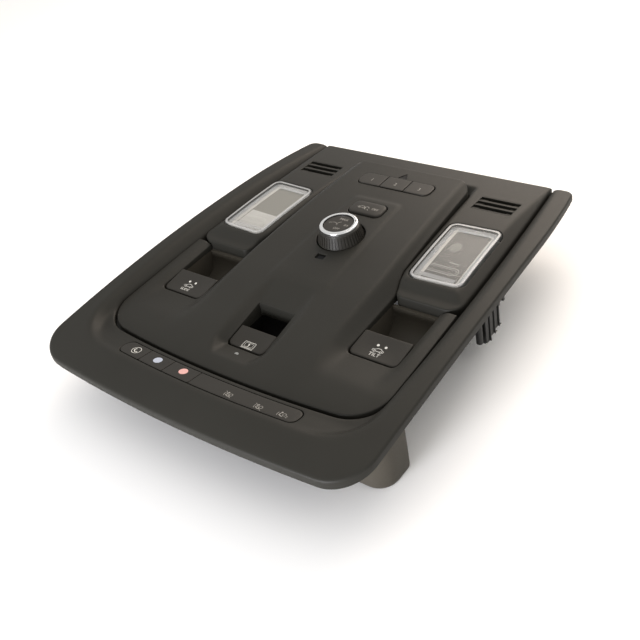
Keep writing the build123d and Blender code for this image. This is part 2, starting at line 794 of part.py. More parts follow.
def socket_solid(x, y, z, facing):
    """Connector socket on an upright wall: open shroud with one row of pins."""
    middle_z = z + SOCKET_HEIGHT / 2
    with BuildPart() as shroud:
        with Locations((x, y + facing * SOCKET_DEPTH / 2, middle_z)):
            Box(SOCKET_WIDTH, SOCKET_DEPTH, SOCKET_HEIGHT)
        with Locations((x, y + facing * (SOCKET_DEPTH / 2 + SOCKET_WALL), middle_z)):
            Box(
                SOCKET_WIDTH - 2 * SOCKET_WALL,
                SOCKET_DEPTH,
                SOCKET_HEIGHT - 2 * SOCKET_WALL,
                mode=Mode.SUBTRACT,
            )
        for place in range(SOCKET_PINS):
            pin_x = x + (place - (SOCKET_PINS - 1) / 2) * SOCKET_PITCH
            with Locations((pin_x, y + facing * (SOCKET_WALL + SOCKET_PIN_LENGTH / 2), middle_z)):
                Box(SOCKET_PIN, SOCKET_PIN_LENGTH, SOCKET_PIN)
    return shroud.part


def clip_profile(plane, half, base, height):
    """Bent spring strip that hugs a tower from below, with bulged arms."""
    out = half + CLIP_THICK
    top = base + height
    bulge_z = base + height / 2
    right_arm = [(half, base), (half + CLIP_BULGE, bulge_z), (half, top)]
    right_back = [(out, top), (out + CLIP_BULGE, bulge_z), (out, base - CLIP_THICK)]
    right_side = right_arm + right_back
    left_side = [(-u, v) for u, v in reversed(right_side)]
    with BuildSketch(plane) as strip:
        with BuildLine():
            Polyline(*right_side, *left_side, close=True)
        make_face()
    return strip.sketch


pieces = {}

# Bezel frame: crowned rim, front dish with the button row's cut-out, ledge under the panels, clip towers
with BuildPart() as rim_hollow:
    extrude(rim_outline(-RIM_WALL, LEDGE_BASE), amount=HIGH)
    extrude(under_rim(RIM_SKIN, FEET), amount=REACH, both=True, mode=Mode.INTERSECT)
    add(dish_space(SLOPE_SKIN_GROW, DISH_SKIN), mode=Mode.SUBTRACT)
    extrude(opening_outline(OPENING_WALL, FRONT_WALL, LEDGE_BASE), amount=HIGH, mode=Mode.SUBTRACT)

with BuildPart() as under_lip:
    extrude(rim_outline(RIM_WALL, LEDGE_BASE), amount=HIGH)
    extrude(under_rim(LIP_DROP, FEET), amount=REACH, both=True, mode=Mode.INTERSECT)
    extrude(opening_outline(OPENING_WALL, FRONT_WALL, LEDGE_BASE), amount=HIGH, mode=Mode.SUBTRACT)

with BuildPart() as lip_relief:
    extrude(rim_outline(RIM_WALL, LEDGE_BASE), amount=HIGH)
    extrude(rim_outline(-LIP_STEP, LEDGE_BASE), amount=HIGH, mode=Mode.SUBTRACT)
    extrude(under_rim(LIP_HEIGHT, FEET), amount=REACH, both=True, mode=Mode.INTERSECT)

with BuildPart() as bezel_frame:
    extrude(rim_outline(0, LEDGE_BASE), amount=HIGH)
    extrude(under_rim(0, FEET), amount=REACH, both=True, mode=Mode.INTERSECT)
    top_edges = [e for e in bezel_frame.edges() if e.center().Z > RIM_FRONT_Z - CREASE_MARGIN]
    fillet([e for e in top_edges if abs(e.center().Y - RIM_KNEE[0]) > CREASE_MARGIN], RIM_EDGE_R)
    add(rim_hollow.part, mode=Mode.SUBTRACT)
    add(under_lip.part, mode=Mode.SUBTRACT)
    add(lip_relief.part, mode=Mode.SUBTRACT)
    add(dish_space(0, 0), mode=Mode.SUBTRACT)
    extrude(opening_outline(0, 0, LEDGE_TOP), amount=HIGH, mode=Mode.SUBTRACT)
    inner = opening_outline(-LEDGE_WIDTH, -LEDGE_WIDTH, LEDGE_BASE, rear=HALF_LENGTH - 2 * LEDGE_WIDTH)
    extrude(inner, amount=HIGH, mode=Mode.SUBTRACT)
    extrude(row_outline(0, LEDGE_BASE), amount=HIGH, mode=Mode.SUBTRACT)
    notch = lens_outline(LAMP_OUTER + LENS_GAP, LEDGE_BASE)
    extrude(notch, amount=HIGH, mode=Mode.SUBTRACT)
    extrude(mirror(notch, about=Plane.YZ), amount=HIGH, mode=Mode.SUBTRACT)
    for side in (-1, 1):
        tower = block_outline(
            side * REAR_TOWER_X - CLIP_WIDTH / 2 - TOWER_MARGIN,
            side * REAR_TOWER_X + CLIP_WIDTH / 2 + TOWER_MARGIN,
            REAR_TOWER_Y - TOWER_DEPTH / 2,
            REAR_TOWER_Y + TOWER_DEPTH / 2,
            REAR_TOWER_BASE,
            TOWER_MARGIN,
        )
        extrude(tower, amount=LEDGE_BASE - REAR_TOWER_BASE)
        boss = round_outline(side * ROW_EAR_X, ROW_EAR_Y, BOSS_R, ROW_EAR_TOP)
        extrude(boss, amount=ROW_EAR_BOSS_TOP - ROW_EAR_TOP)
        pilot = round_outline(side * ROW_EAR_X, ROW_EAR_Y, SCREW_R, ROW_EAR_TOP)
        extrude(pilot, amount=SCREW_LENGTH - EAR_THICK, mode=Mode.SUBTRACT)
pieces["bezel_frame"] = bezel_frame

# Lamp panel: U-shaped rear panel with bevelled outer edges, noses over the wells and microphone louvres
with BuildPart() as lamp_hollow:
    extrude(opening_outline(-LAMP_VOID_INSET, 0, LEDGE_BASE), amount=HIGH)
    extrude(under_lamp(PANEL_SKIN, FEET, PANEL_WALL), amount=REACH, both=True, mode=Mode.INTERSECT)
    extrude(neck_outline(PANEL_WALL + SEAM, GROOVE_REAR - 1, FEET), amount=HIGH, mode=Mode.SUBTRACT)

with BuildPart() as lamp_relief:
    extrude(lens_outline(LAMP_OUTER + SEAT_GAP, LEDGE_BASE), amount=HIGH)
    add(lamp_form(PANEL_SKIN, FEET), mode=Mode.INTERSECT)

with BuildPart() as lamp_panel:
    add(lamp_form(0, LEDGE_TOP))
    extrude(neck_outline(SEAM, SEAM, FEET), amount=HIGH, mode=Mode.SUBTRACT)
    groove_low = neck_outline(SEAM, SEAM, GROOVE_FOOT)
    groove_top = GROOVE_FOOT + GROOVE_RISE
    groove_high = neck_outline(SEAM + GROOVE_SIDE, SEAM + GROOVE_REAR, groove_top, NECK_R + GROOVE_SIDE)
    loft([groove_low, groove_high], ruled=True, mode=Mode.SUBTRACT)
    with BuildSketch(Plane.XY):
        with BuildLine():
            Polyline(
                (OPENING_MID_HALF - NOSE_CHAMFER, NOSE_EDGE[0] - CREASE_MARGIN),
                (OPENING_MID_HALF + NOSE_CHAMFER, NOSE_EDGE[0] - CREASE_MARGIN),
                (OPENING_MID_HALF + NOSE_CHAMFER, NOSE_EDGE[0] + 2 * NOSE_CHAMFER),
                close=True,
            )
        make_face()
        mirror(about=Plane.YZ)
    extrude(amount=HIGH, mode=Mode.SUBTRACT)
    add(lamp_hollow.part, mode=Mode.SUBTRACT)
    add(lamp_relief.part, mode=Mode.SUBTRACT)
    add(mirror(lamp_relief.part, about=Plane.YZ), mode=Mode.SUBTRACT)
    for row in range(GRILLE_COUNT):
        rear_y = GRILLE_REAR_Y - row * GRILLE_PITCH
        front_y = rear_y - GRILLE_PITCH + GRILLE_BAR
        louvre = side_profile(
            [
                (front_y, lamp_crown(front_y)),
                (rear_y, lamp_crown(rear_y) - GRILLE_DEPTH),
                (rear_y, HIGH),
                (front_y, HIGH),
            ]
        )
        for side in (-1, 1):
            pocket = louvre.moved(Location((side * GRILLE_X, 0, 0)))
            extrude(pocket, amount=GRILLE_POCKET / 2, both=True, mode=Mode.SUBTRACT)
            slot = block_outline(
                side * GRILLE_X - GRILLE_WIDTH / 2,
                side * GRILLE_X + GRILLE_WIDTH / 2,
                rear_y - GRILLE_SLOT,
                rear_y,
                LEDGE_TOP,
            )
            extrude(slot, amount=HIGH, mode=Mode.SUBTRACT)
    right_aperture = lens_outline(LENS_GAP, FEET)
    extrude(right_aperture, amount=HIGH, mode=Mode.SUBTRACT)
    extrude(mirror(right_aperture, about=Plane.YZ), amount=HIGH, mode=Mode.SUBTRACT)
pieces["lamp_panel"] = lamp_panel

# Centre panel: crowned neck with bevelled flanks, soft scoops in front of the rockers
SECTIONS = (
    # place along Y, crease half width, foot height, scoop height, outer strip height, outer edge height
    (OPENING_FRONT_Y - CREASE_MARGIN, 56.0, 40.9, 40.8, 40.6, 39.6),
    (-79.0, 55.0, 43.7, 43.5, 43.5, 42.4),
    (WELL_FRONT_Y, 52.8, 40.4, 40.4, 43.9, 43.3),
    (0.0, 52.2, 42.6, 42.6, 45.4, 45.2),
    (25.0, 50.4, 48.3, 48.3, 48.3, 48.3),
    (60.0, 48.4, 50.4, 50.4, 50.4, 50.4),
    (NECK_REAR_Y + 2.5, 44.4, 51.8, 51.8, 51.8, 51.8),
)
FOOT_HALF = (WELL_INNER, WELL_INNER, WELL_INNER, WELL_INNER, 57.0, 54.6, 50.4)


def shoulder_section(section, foot_half):
    """Region above one flank of the centre panel at one place along the console."""
    y, crease_half, foot_z, scoop_z, strip_z, edge_z = section
    crease_z = crown(y)
    top = (2 * crease_half - foot_half, max(2 * crease_z - foot_z, crease_z + CREASE_MARGIN))
    outside = OPENING_FRONT_HALF + CREASE_MARGIN
    return across(
        [
            top,
            (foot_half, foot_z),
            (WELL_OUTER, scoop_z),
            (WELL_OUTER + SCOOP_STRIP, strip_z),
            (outside, edge_z),
            (outside, HIGH),
            (top[0], HIGH),
        ],
        y,
    )


with BuildPart() as shoulder:
    loft([shoulder_section(s, f) for s, f in zip(SECTIONS, FOOT_HALF)], ruled=True)


def scoop_section(y, floor_half, floor_z, top_half, top_z):
    """Region above the sunshade scoop at one place along the console."""
    high_x = top_half + (top_half - floor_half) * SCOOP_OVER
    high_z = top_z + (top_z - floor_z) * SCOOP_OVER
    right_side = [(floor_half, floor_z), (high_x, high_z), (high_x, HIGH)]
    left_side = [(-x, z) for x, z in reversed(right_side)]
    return across(right_side + left_side, y)


scoop_floor = SHADE_HALF + SCOOP_MARGIN
scoop_ends = (crown(SCOOP_REAR_Y), crown(SCOOP_FRONT_Y))
# place along Y, floor half width, floor height, top half width, top height
SCOOP_SECTIONS = (
    (SCOOP_REAR_Y, 18.0, scoop_ends[0] + PAD_RISE, 24.0, scoop_ends[0] + 2.0),
    (SHADE_BACK_Y, scoop_floor, RIM_LEVEL, 22.5, crown(SHADE_BACK_Y)),
    (SHADE_FRONT_Y, scoop_floor, RIM_LEVEL - 6.6, 21.0, crown(SHADE_FRONT_Y)),
    (SCOOP_FRONT_Y, SHADE_HALF - 2.0, scoop_ends[1] + 0.2, 18.0, scoop_ends[1] + 1.0),
)

with BuildPart() as scoop:
    loft([scoop_section(*section) for section in SCOOP_SECTIONS], ruled=True)

with BuildPart() as centre_hollow:
    extrude(neck_outline(-PANEL_WALL - ROCKER_GAP, -PANEL_WALL, FEET, NECK_R - PANEL_WALL), amount=HIGH)
    extrude(under_crown(PANEL_SKIN + BUTTON_GAP, FEET), amount=REACH, both=True, mode=Mode.INTERSECT)
    sunk_shoulder = shoulder.part.moved(Location((-PANEL_WALL, 0, -PANEL_WALL)))
    add(sunk_shoulder, mode=Mode.SUBTRACT)
    add(mirror(sunk_shoulder, about=Plane.YZ), mode=Mode.SUBTRACT)
    add(scoop.part.moved(Location((0, 0, -PANEL_WALL))), mode=Mode.SUBTRACT)

with BuildPart() as front_hollow:
    back_y = PANEL_BACK_Y - PANEL_WALL
    inside = opening_outline(-SEAM - PANEL_WALL, -FRONT_GAP - PANEL_WALL, FEET, rear=back_y)
    extrude(inside, amount=WELL_TOP + SEAT_GAP)
    shade_block = block_outline(
        -SHADE_HALF - PANEL_HEM, SHADE_HALF + PANEL_HEM, -REACH, WELL_FRONT_Y, SHADE_WELL_TOP + SEAT_GAP
    )
    extrude(shade_block, amount=HIGH, mode=Mode.SUBTRACT)

panel_bosses = [(side * EAR_X, ear_y, WELL_TOP) for side in (-1, 1) for ear_y in EAR_YS]
panel_bosses += [(0, ear_y, SHADE_WELL_TOP) for ear_y in SHADE_EAR_YS]
panel_bosses += [(side * ear[0], ear[1], TRAY_EAR_TOP) for side in (-1, 1) for ear in TRAY_EARS]

with BuildPart() as supports:
    collar = block_outline(
        -SHADE_HALF - SHADE_COLLAR,
        SHADE_HALF + SHADE_COLLAR,
        SHADE_FRONT_Y - SHADE_COLLAR,
        SHADE_BACK_Y + SHADE_COLLAR,
        SHADE_WELL_TOP + SEAT_GAP,
    )
    extrude(collar, amount=HIGH)
    for x, y, z in panel_bosses:
        extrude(round_outline(x, y, BOSS_R, z + SEAT_GAP), amount=HIGH)
    extrude(under_crown(PANEL_SKIN / 2, FEET), amount=REACH, both=True, mode=Mode.INTERSECT)

with BuildPart() as centre_panel:
    extrude(opening_outline(-SEAM, -FRONT_GAP, LEDGE_TOP, rear=PANEL_BACK_Y), amount=HIGH)
    extrude(neck_outline(0, 0, LEDGE_TOP), amount=HIGH)
    extrude(under_crown(0, FEET), amount=REACH, both=True, mode=Mode.INTERSECT)
    with BuildSketch(Plane.XY.offset(RIM_LEVEL)):
        with BuildLine():
            Polyline(
                (-PAD_REAR_HALF, PAD_REAR_Y),
                (PAD_REAR_HALF, PAD_REAR_Y),
                (PAD_FRONT_HALF, PAD_FRONT_Y),
                (-PAD_FRONT_HALF, PAD_FRONT_Y),
                close=True,
            )
        make_face()
    extrude(amount=HIGH)
    extrude(under_crown(-PAD_RISE, FEET), amount=REACH, both=True, mode=Mode.INTERSECT)
    add(centre_hollow.part, mode=Mode.SUBTRACT)
    add(front_hollow.part, mode=Mode.SUBTRACT)
    add(supports.part)
    add(shoulder.part, mode=Mode.SUBTRACT)
    add(mirror(shoulder.part, about=Plane.YZ), mode=Mode.SUBTRACT)
    add(scoop.part, mode=Mode.SUBTRACT)
    for x, y, z in panel_bosses:
        extrude(round_outline(x, y, SCREW_R, z), amount=SCREW_LENGTH - EAR_THICK, mode=Mode.SUBTRACT)
    for side in (-1, 1):
        inner_x = side * WELL_INNER
        outer_x = side * WELL_OUTER
        well = block_outline(min(inner_x, outer_x), max(inner_x, outer_x), WELL_FRONT_Y, NECK_FLARE_Y, FEET)
        extrude(well, amount=HIGH, mode=Mode.SUBTRACT)
        seat = block_outline(
            min(inner_x, outer_x) - WELL_WALL - SEAT_GAP,
            max(inner_x, outer_x) + WELL_WALL + SEAT_GAP,
            WELL_FRONT_Y,
            NECK_FLARE_Y,
            FEET,
        )
        extrude(seat, amount=WELL_TOP + SEAT_GAP, mode=Mode.SUBTRACT)
    shade_well = block_outline(-SHADE_HALF, SHADE_HALF, SHADE_FRONT_Y, SHADE_BACK_Y, FEET)
    extrude(shade_well, amount=HIGH, mode=Mode.SUBTRACT)
    strip_hole = block_outline(
        -STRIP_HALF - BUTTON_GAP,
        STRIP_HALF + BUTTON_GAP,
        STRIP_FRONT_Y - BUTTON_GAP,
        STRIP_REAR_Y + BUTTON_GAP,
        FEET,
        STRIP_R + BUTTON_GAP,
    )
    extrude(strip_hole, amount=HIGH, mode=Mode.SUBTRACT)
    override_hole = block_outline(
        -OVERRIDE_HALF - BUTTON_GAP,
        OVERRIDE_HALF + BUTTON_GAP,
        OVERRIDE_Y - OVERRIDE_DEPTH / 2 - BUTTON_GAP,
        OVERRIDE_Y + OVERRIDE_DEPTH / 2 + BUTTON_GAP,
        FEET,
        OVERRIDE_R + BUTTON_GAP,
    )
    extrude(override_hole, amount=HIGH, mode=Mode.SUBTRACT)
    extrude(round_outline(0, KNOB_Y, KNOB_HOLE_R, FEET), amount=HIGH, mode=Mode.SUBTRACT)
    extrude(arrow_outline(WINDOW_GAP, FEET), amount=HIGH, mode=Mode.SUBTRACT)
    sensor_hole = block_outline(
        -SENSOR_WIDTH / 2 - WINDOW_GAP,
        SENSOR_WIDTH / 2 + WINDOW_GAP,
        SENSOR_Y - SENSOR_DEPTH / 2 - WINDOW_GAP,
        SENSOR_Y + SENSOR_DEPTH / 2 + WINDOW_GAP,
        FEET,
    )
    extrude(sensor_hole, amount=HIGH, mode=Mode.SUBTRACT)
pieces["centre_panel"] = centre_panel

# Map lamps: lens with skirt and hooks, reflector, board with light source, housing under the panel
with BuildPart() as lens_space:
    extrude(lens_outline(-LENS_WALL, FEET), amount=HIGH)
    extrude(under_lamp(LENS_SKIN - LENS_PROUD, FEET), amount=REACH, both=True, mode=Mode.INTERSECT)

with BuildPart() as right_lamp_lens:
    extrude(lens_outline(0, LENS_BASE), amount=HIGH)
    extrude(under_lamp(-LENS_PROUD, FEET), amount=REACH, both=True, mode=Mode.INTERSECT)
    add(lens_space.part, mode=Mode.SUBTRACT)
    extrude(lens_hooks(0, LENS_BASE), amount=HOOK_HEIGHT)
pieces["right_lamp_lens"] = right_lamp_lens

with BuildPart() as left_lamp_lens:
    add(mirror(right_lamp_lens.part, about=Plane.YZ))
pieces["left_lamp_lens"] = left_lamp_lens

with BuildPart() as right_lamp_reflector:
    extrude(lens_outline(0, REFLECTOR_BASE), amount=REFLECTOR_TOP - REFLECTOR_BASE)
    bowl_low = lens_outline(-REFLECTOR_TAPER, REFLECTOR_BASE + REFLECTOR_FLOOR)
    bowl_high = lens_outline(-REFLECTOR_RIM, REFLECTOR_TOP)
    loft([bowl_low, bowl_high], ruled=True, mode=Mode.SUBTRACT)
    extrude(round_outline(LENS_X, LENS_Y, REFLECTOR_HOLE_R, FEET), amount=HIGH, mode=Mode.SUBTRACT)
    board_top = LAMP_BOARD_Z + BOARD_THICK
    extrude(lamp_posts(board_top), amount=REFLECTOR_BASE - board_top)
pieces["right_lamp_reflector"] = right_lamp_reflector

with BuildPart() as left_lamp_reflector:
    add(mirror(right_lamp_reflector.part, about=Plane.YZ))
pieces["left_lamp_reflector"] = left_lamp_reflector

with BuildPart() as right_lamp_board:
    extrude(lens_outline(-BOARD_EDGE, LAMP_BOARD_Z), amount=BOARD_THICK)
pieces["right_lamp_board"] = right_lamp_board

with BuildPart() as left_lamp_board:
    add(mirror(right_lamp_board.part, about=Plane.YZ))
pieces["left_lamp_board"] = left_lamp_board

with BuildPart() as right_lamp_led:
    with BuildSketch(lens_place(LAMP_BOARD_Z + BOARD_THICK)):
        Rectangle(LED_SIZE, LED_SIZE)
    extrude(amount=LED_HEIGHT)
pieces["right_lamp_led"] = right_lamp_led

with BuildPart() as left_lamp_led:
    add(mirror(right_lamp_led.part, about=Plane.YZ))
pieces["left_lamp_led"] = left_lamp_led

with BuildPart() as right_lamp_housing:
    extrude(lens_outline(LAMP_OUTER, LAMP_BASE), amount=HIGH)
    add(lamp_form(PANEL_SKIN, FEET), mode=Mode.INTERSECT)
    extrude(lens_outline(LAMP_CLEAR, LAMP_BASE + LAMP_WALL), amount=HIGH, mode=Mode.SUBTRACT)
    pocket_base = LENS_BASE - LENS_TRAVEL - HOOK_CLEAR
    extrude(lens_hooks(HOOK_CLEAR, pocket_base), amount=HIGH, mode=Mode.SUBTRACT)
    extrude(lamp_posts(LAMP_BASE + LAMP_WALL), amount=LAMP_BOARD_Z - LAMP_BASE - LAMP_WALL)
pieces["right_lamp_housing"] = right_lamp_housing

with BuildPart() as left_lamp_housing:
    add(mirror(right_lamp_housing.part, about=Plane.YZ))
pieces["left_lamp_housing"] = left_lamp_housing

# Microphones under the louvres
microphone_y = GRILLE_REAR_Y - GRILLE_COUNT * GRILLE_PITCH / 2

with BuildPart() as right_microphone:
    extrude(round_outline(GRILLE_X, microphone_y, MICROPHONE_R, MICROPHONE_BASE), amount=HIGH)
    extrude(under_lamp(PANEL_SKIN, FEET), amount=REACH, both=True, mode=Mode.INTERSECT)
pieces["right_microphone"] = right_microphone

with BuildPart() as left_microphone:
    add(mirror(right_microphone.part, about=Plane.YZ))
pieces["left_microphone"] = left_microphone

# Transmitter buttons, override button and the two small windows
key_pitch = 2 * STRIP_HALF / STRIP_COUNT
key_edges = [-STRIP_HALF + place * key_pitch for place in range(STRIP_COUNT + 1)]
key_limits = [
    (
        key_edges[place] + (BUTTON_GAP / 2 if place > 0 else 0),
        key_edges[place + 1] - (BUTTON_GAP / 2 if place < STRIP_COUNT - 1 else 0),
    )
    for place in range(STRIP_COUNT)
]

with BuildPart() as transmitter_button_1:
    add(neck_key(*key_limits[0], STRIP_FRONT_Y, STRIP_REAR_Y, STRIP_HALF, STRIP_R, BUTTON_PROUD))
pieces["transmitter_button_1"] = transmitter_button_1

with BuildPart() as transmitter_button_2:
    add(neck_key(*key_limits[1], STRIP_FRONT_Y, STRIP_REAR_Y, STRIP_HALF, STRIP_R, BUTTON_PROUD))
pieces["transmitter_button_2"] = transmitter_button_2

with BuildPart() as transmitter_button_3:
    add(neck_key(*key_limits[2], STRIP_FRONT_Y, STRIP_REAR_Y, STRIP_HALF, STRIP_R, BUTTON_PROUD))
pieces["transmitter_button_3"] = transmitter_button_3

with BuildPart() as tailgate_override_button:
    front_y = OVERRIDE_Y - OVERRIDE_DEPTH / 2
    rear_y = OVERRIDE_Y + OVERRIDE_DEPTH / 2
    add(neck_key(-OVERRIDE_HALF, OVERRIDE_HALF, front_y, rear_y, OVERRIDE_HALF, OVERRIDE_R, OVERRIDE_PROUD))
pieces["tailgate_override_button"] = tailgate_override_button

board_top = BOARD_Z + BOARD_THICK

with BuildPart() as transmitter_window:
    window_top = crown(ARROW_Y) - WINDOW_SUNK
    extrude(arrow_outline(0, window_top - WINDOW_THICK), amount=WINDOW_THICK)
    extrude(round_outline(0, PIPE_Y, PIPE_R, board_top), amount=window_top - WINDOW_THICK - board_top)
pieces["transmitter_window"] = transmitter_window

with BuildPart() as sensor_window:
    window_top = crown(SENSOR_Y) - WINDOW_SUNK
    with Locations((0, SENSOR_Y, window_top - WINDOW_THICK / 2)):
        Box(SENSOR_WIDTH, SENSOR_DEPTH, WINDOW_THICK)
    with Locations((0, SENSOR_Y, (window_top - WINDOW_THICK + board_top) / 2)):
        Box(SENSOR_PIPE, SENSOR_PIPE, window_top - WINDOW_THICK - board_top)
pieces["sensor_window"] = sensor_window

# Mode knob: ribbed skirt on the encoder's guide, bright ring, pressed centre cap
with BuildPart() as mode_knob:
    with BuildSketch(Plane.XZ.offset(-KNOB_Y)):
        with BuildLine():
            Polyline(
                (KNOB_INNER_R, KNOB_BASE_Z),
                (KNOB_BASE_R, KNOB_BASE_Z),
                (KNOB_TOP_R, KNOB_SHOULDER_Z),
                (KNOB_INNER_R, KNOB_SHOULDER_Z),
                (KNOB_INNER_R, HUB_BASE_Z + HUB_THICK),
                (GUIDE_R + HUB_CLEARANCE, HUB_BASE_Z + HUB_THICK),
                (GUIDE_R + HUB_CLEARANCE, HUB_BASE_Z),
                (KNOB_INNER_R, HUB_BASE_Z),
                close=True,
            )
        make_face()
    revolve(axis=Axis((0, KNOB_Y, 0), (0, 0, 1)))
    groove_tilt = math.degrees(math.atan2(KNOB_BASE_R - KNOB_TOP_R, KNOB_SHOULDER_Z - KNOB_BASE_Z))
    with Locations((0, KNOB_Y, (KNOB_BASE_Z + KNOB_SHOULDER_Z) / 2)):
        with PolarLocations((KNOB_BASE_R + KNOB_TOP_R) / 2, KNOB_RIBS):
            Box(
                2 * RIB_DEPTH,
                RIB_WIDTH,
                (KNOB_SHOULDER_Z - KNOB_BASE_Z) * 0.8,
                rotation=(0, -groove_tilt, 0),
                mode=Mode.SUBTRACT,
            )
pieces["mode_knob"] = mode_knob

with BuildPart() as mode_knob_ring:
    extrude(round_outline(0, KNOB_Y, RING_R, KNOB_SHOULDER_Z), amount=RING_TOP_Z - KNOB_SHOULDER_Z)
    top_edge = mode_knob_ring.edges().filter_by(GeomType.CIRCLE).sort_by(Axis.Z)[-1]
    fillet(top_edge, RIB_WIDTH)
    extrude(round_outline(0, KNOB_Y, RING_INNER_R, KNOB_SHOULDER_Z), amount=HIGH, mode=Mode.SUBTRACT)
pieces["mode_knob_ring"] = mode_knob_ring

with BuildPart() as mode_knob_cap:
    extrude(round_outline(0, KNOB_Y, CAP_R, CAP_BASE_Z), amount=CAP_TOP_Z - CAP_BASE_Z)
    extrude(round_outline(0, KNOB_Y, CAP_STEM_R, CAP_STEM_END), amount=CAP_BASE_Z - CAP_STEM_END)
pieces["mode_knob_cap"] = mode_knob_cap

with BuildPart() as encoder:
    half = ENCODER_SIZE / 2
    body = block_outline(-half, half, KNOB_Y - half, KNOB_Y + half, board_top, RIB_WIDTH)
    extrude(body, amount=ENCODER_TOP - board_top)
    extrude(round_outline(0, KNOB_Y, GUIDE_R, ENCODER_TOP), amount=GUIDE_TOP_Z - ENCODER_TOP)
    extrude(round_outline(0, KNOB_Y, GUIDE_BORE_R, ENCODER_FLOOR), amount=HIGH, mode=Mode.SUBTRACT)
pieces["encoder"] = encoder

# Centre module: shallow tray with a deep rear box, board on posts and rubber dome mat
with BuildPart() as centre_module_housing:
    tray = block_outline(-TRAY_HALF, TRAY_HALF, TRAY_FRONT_Y, TRAY_REAR_Y, TRAY_FLOOR, TRAY_R)
    extrude(tray, amount=TRAY_TOP - TRAY_FLOOR)
    deep_box = block_outline(-DEEP_HALF, DEEP_HALF, DEEP_FRONT_Y, TRAY_REAR_Y, FEET, TRAY_R)
    extrude(deep_box, amount=TRAY_FLOOR - FEET)
    tray_space = block_outline(
        -TRAY_HALF + TRAY_WALL,
        TRAY_HALF - TRAY_WALL,
        TRAY_FRONT_Y + TRAY_WALL,
        TRAY_REAR_Y - TRAY_WALL,
        TRAY_FLOOR + TRAY_WALL,
        TRAY_R - TRAY_WALL,
    )
    extrude(tray_space, amount=HIGH, mode=Mode.SUBTRACT)
    deep_space = block_outline(
        -DEEP_HALF + TRAY_WALL,
        DEEP_HALF - TRAY_WALL,
        DEEP_FRONT_Y + TRAY_WALL,
        TRAY_REAR_Y - TRAY_WALL,
        FEET + TRAY_WALL,
        TRAY_R - TRAY_WALL,
    )
    extrude(deep_space, amount=HIGH, mode=Mode.SUBTRACT)
    for side in (-1, 1):
        for post_y in TRAY_POST_YS:
            post = round_outline(side * TRAY_POST_X, post_y, TRAY_POST_R, TRAY_FLOOR + TRAY_WALL)
            extrude(post, amount=BOARD_Z - TRAY_FLOOR - TRAY_WALL)
        for ear_x, ear_y, root_x, root_y in TRAY_EARS:
            ear = ear_plan(side * ear_x, ear_y, side * root_x, root_y, TRAY_EAR_TOP - EAR_THICK)
            extrude(ear, amount=EAR_THICK)
pieces["centre_module_housing"] = centre_module_housing

with BuildPart() as centre_module_board:
    board = block_outline(
        -TRAY_HALF + TRAY_WALL + TRAY_BOARD_GAP,
        TRAY_HALF - TRAY_WALL - TRAY_BOARD_GAP,
        TRAY_FRONT_Y + TRAY_WALL + TRAY_BOARD_GAP,
        TRAY_REAR_Y - TRAY_WALL - TRAY_BOARD_GAP,
        BOARD_Z,
        TRAY_R - TRAY_WALL,
    )
    extrude(board, amount=BOARD_THICK)
pieces["centre_module_board"] = centre_module_board

with BuildPart() as button_mat:
    mat = block_outline(-MAT_HALF, MAT_HALF, MAT_FRONT_Y, MAT_REAR_Y, board_top, TRAY_R)
    extrude(mat, amount=MAT_THICK)
    dome_spots = [((low + high) / 2, (STRIP_FRONT_Y + STRIP_REAR_Y) / 2) for low, high in key_limits]
    for dome_x, dome_y in dome_spots + [(0, OVERRIDE_Y)]:
        dome_low = round_outline(dome_x, dome_y, DOME_R, board_top + MAT_THICK)
        dome_high = round_outline(dome_x, dome_y, STEM_R, board_top + MAT_THICK + DOME_HEIGHT)
        loft([dome_low, dome_high], ruled=True)
pieces["button_mat"] = button_mat

with BuildPart() as centre_connector:
    add(socket_solid(0, DEEP_FRONT_Y, CENTRE_SOCKET_Z, -1))
pieces["centre_connector"] = centre_connector

# Sunroof switches: rocker, pin, finger well with its tower, board in the tower
well_inner_x = WELL_INNER - WELL_WALL
well_outer_x = WELL_OUTER + WELL_WALL
well_front_y = WELL_FRONT_Y - WELL_MARGIN - WELL_WALL

with BuildPart() as right_rocker:
    front = (ROCKER_FRONT_Y, ROCKER_FRONT_Z)
    rear = (ROCKER_REAR_Y, ROCKER_REAR_Z)
    add(rocker_solid(WELL_INNER + ROCKER_GAP, WELL_OUTER - ROCKER_GAP, front, rear, ROCKER_PIVOT))
pieces["right_rocker"] = right_rocker

with BuildPart() as left_rocker:
    add(mirror(right_rocker.part, about=Plane.YZ))
pieces["left_rocker"] = left_rocker

with BuildPart() as right_rocker_pin:
    add(pin_solid(well_inner_x, well_outer_x, ROCKER_PIVOT))
pieces["right_rocker_pin"] = right_rocker_pin

with BuildPart() as left_rocker_pin:
    add(mirror(right_rocker_pin.part, about=Plane.YZ))
pieces["left_rocker_pin"] = left_rocker_pin

with BuildPart() as right_switch_housing:
    extrude(tower_outline(0, FEET), amount=TOWER_TOP - FEET)
    extrude(tower_outline(TOWER_WALL, FEET + TOWER_WALL), amount=HIGH, mode=Mode.SUBTRACT)
    add(bucket(well_inner_x, well_outer_x, well_front_y, WELL_BACK_Y, WELL_TOP, ROCKER_PIVOT))
    for rib_x in (TOWER_INNER + 1.5 * TOWER_WALL, TOWER_OUTER - 1.5 * TOWER_WALL):
        rib = block_outline(
            rib_x - TOWER_WALL / 2,
            rib_x + TOWER_WALL / 2,
            TOWER_RIB_FRONT_Y,
            TOWER_REAR_Y - TOWER_WALL,
            TOWER_WALL,
        )
        extrude(rib, amount=TOWER_BOARD_Z - TOWER_WALL)
    for ear_y in EAR_YS:
        extrude(ear_plan(EAR_X, ear_y, well_inner_x, ear_y, WELL_TOP - EAR_THICK), amount=EAR_THICK)
pieces["right_switch_housing"] = right_switch_housing

with BuildPart() as left_switch_housing:
    add(mirror(right_switch_housing.part, about=Plane.YZ))
pieces["left_switch_housing"] = left_switch_housing

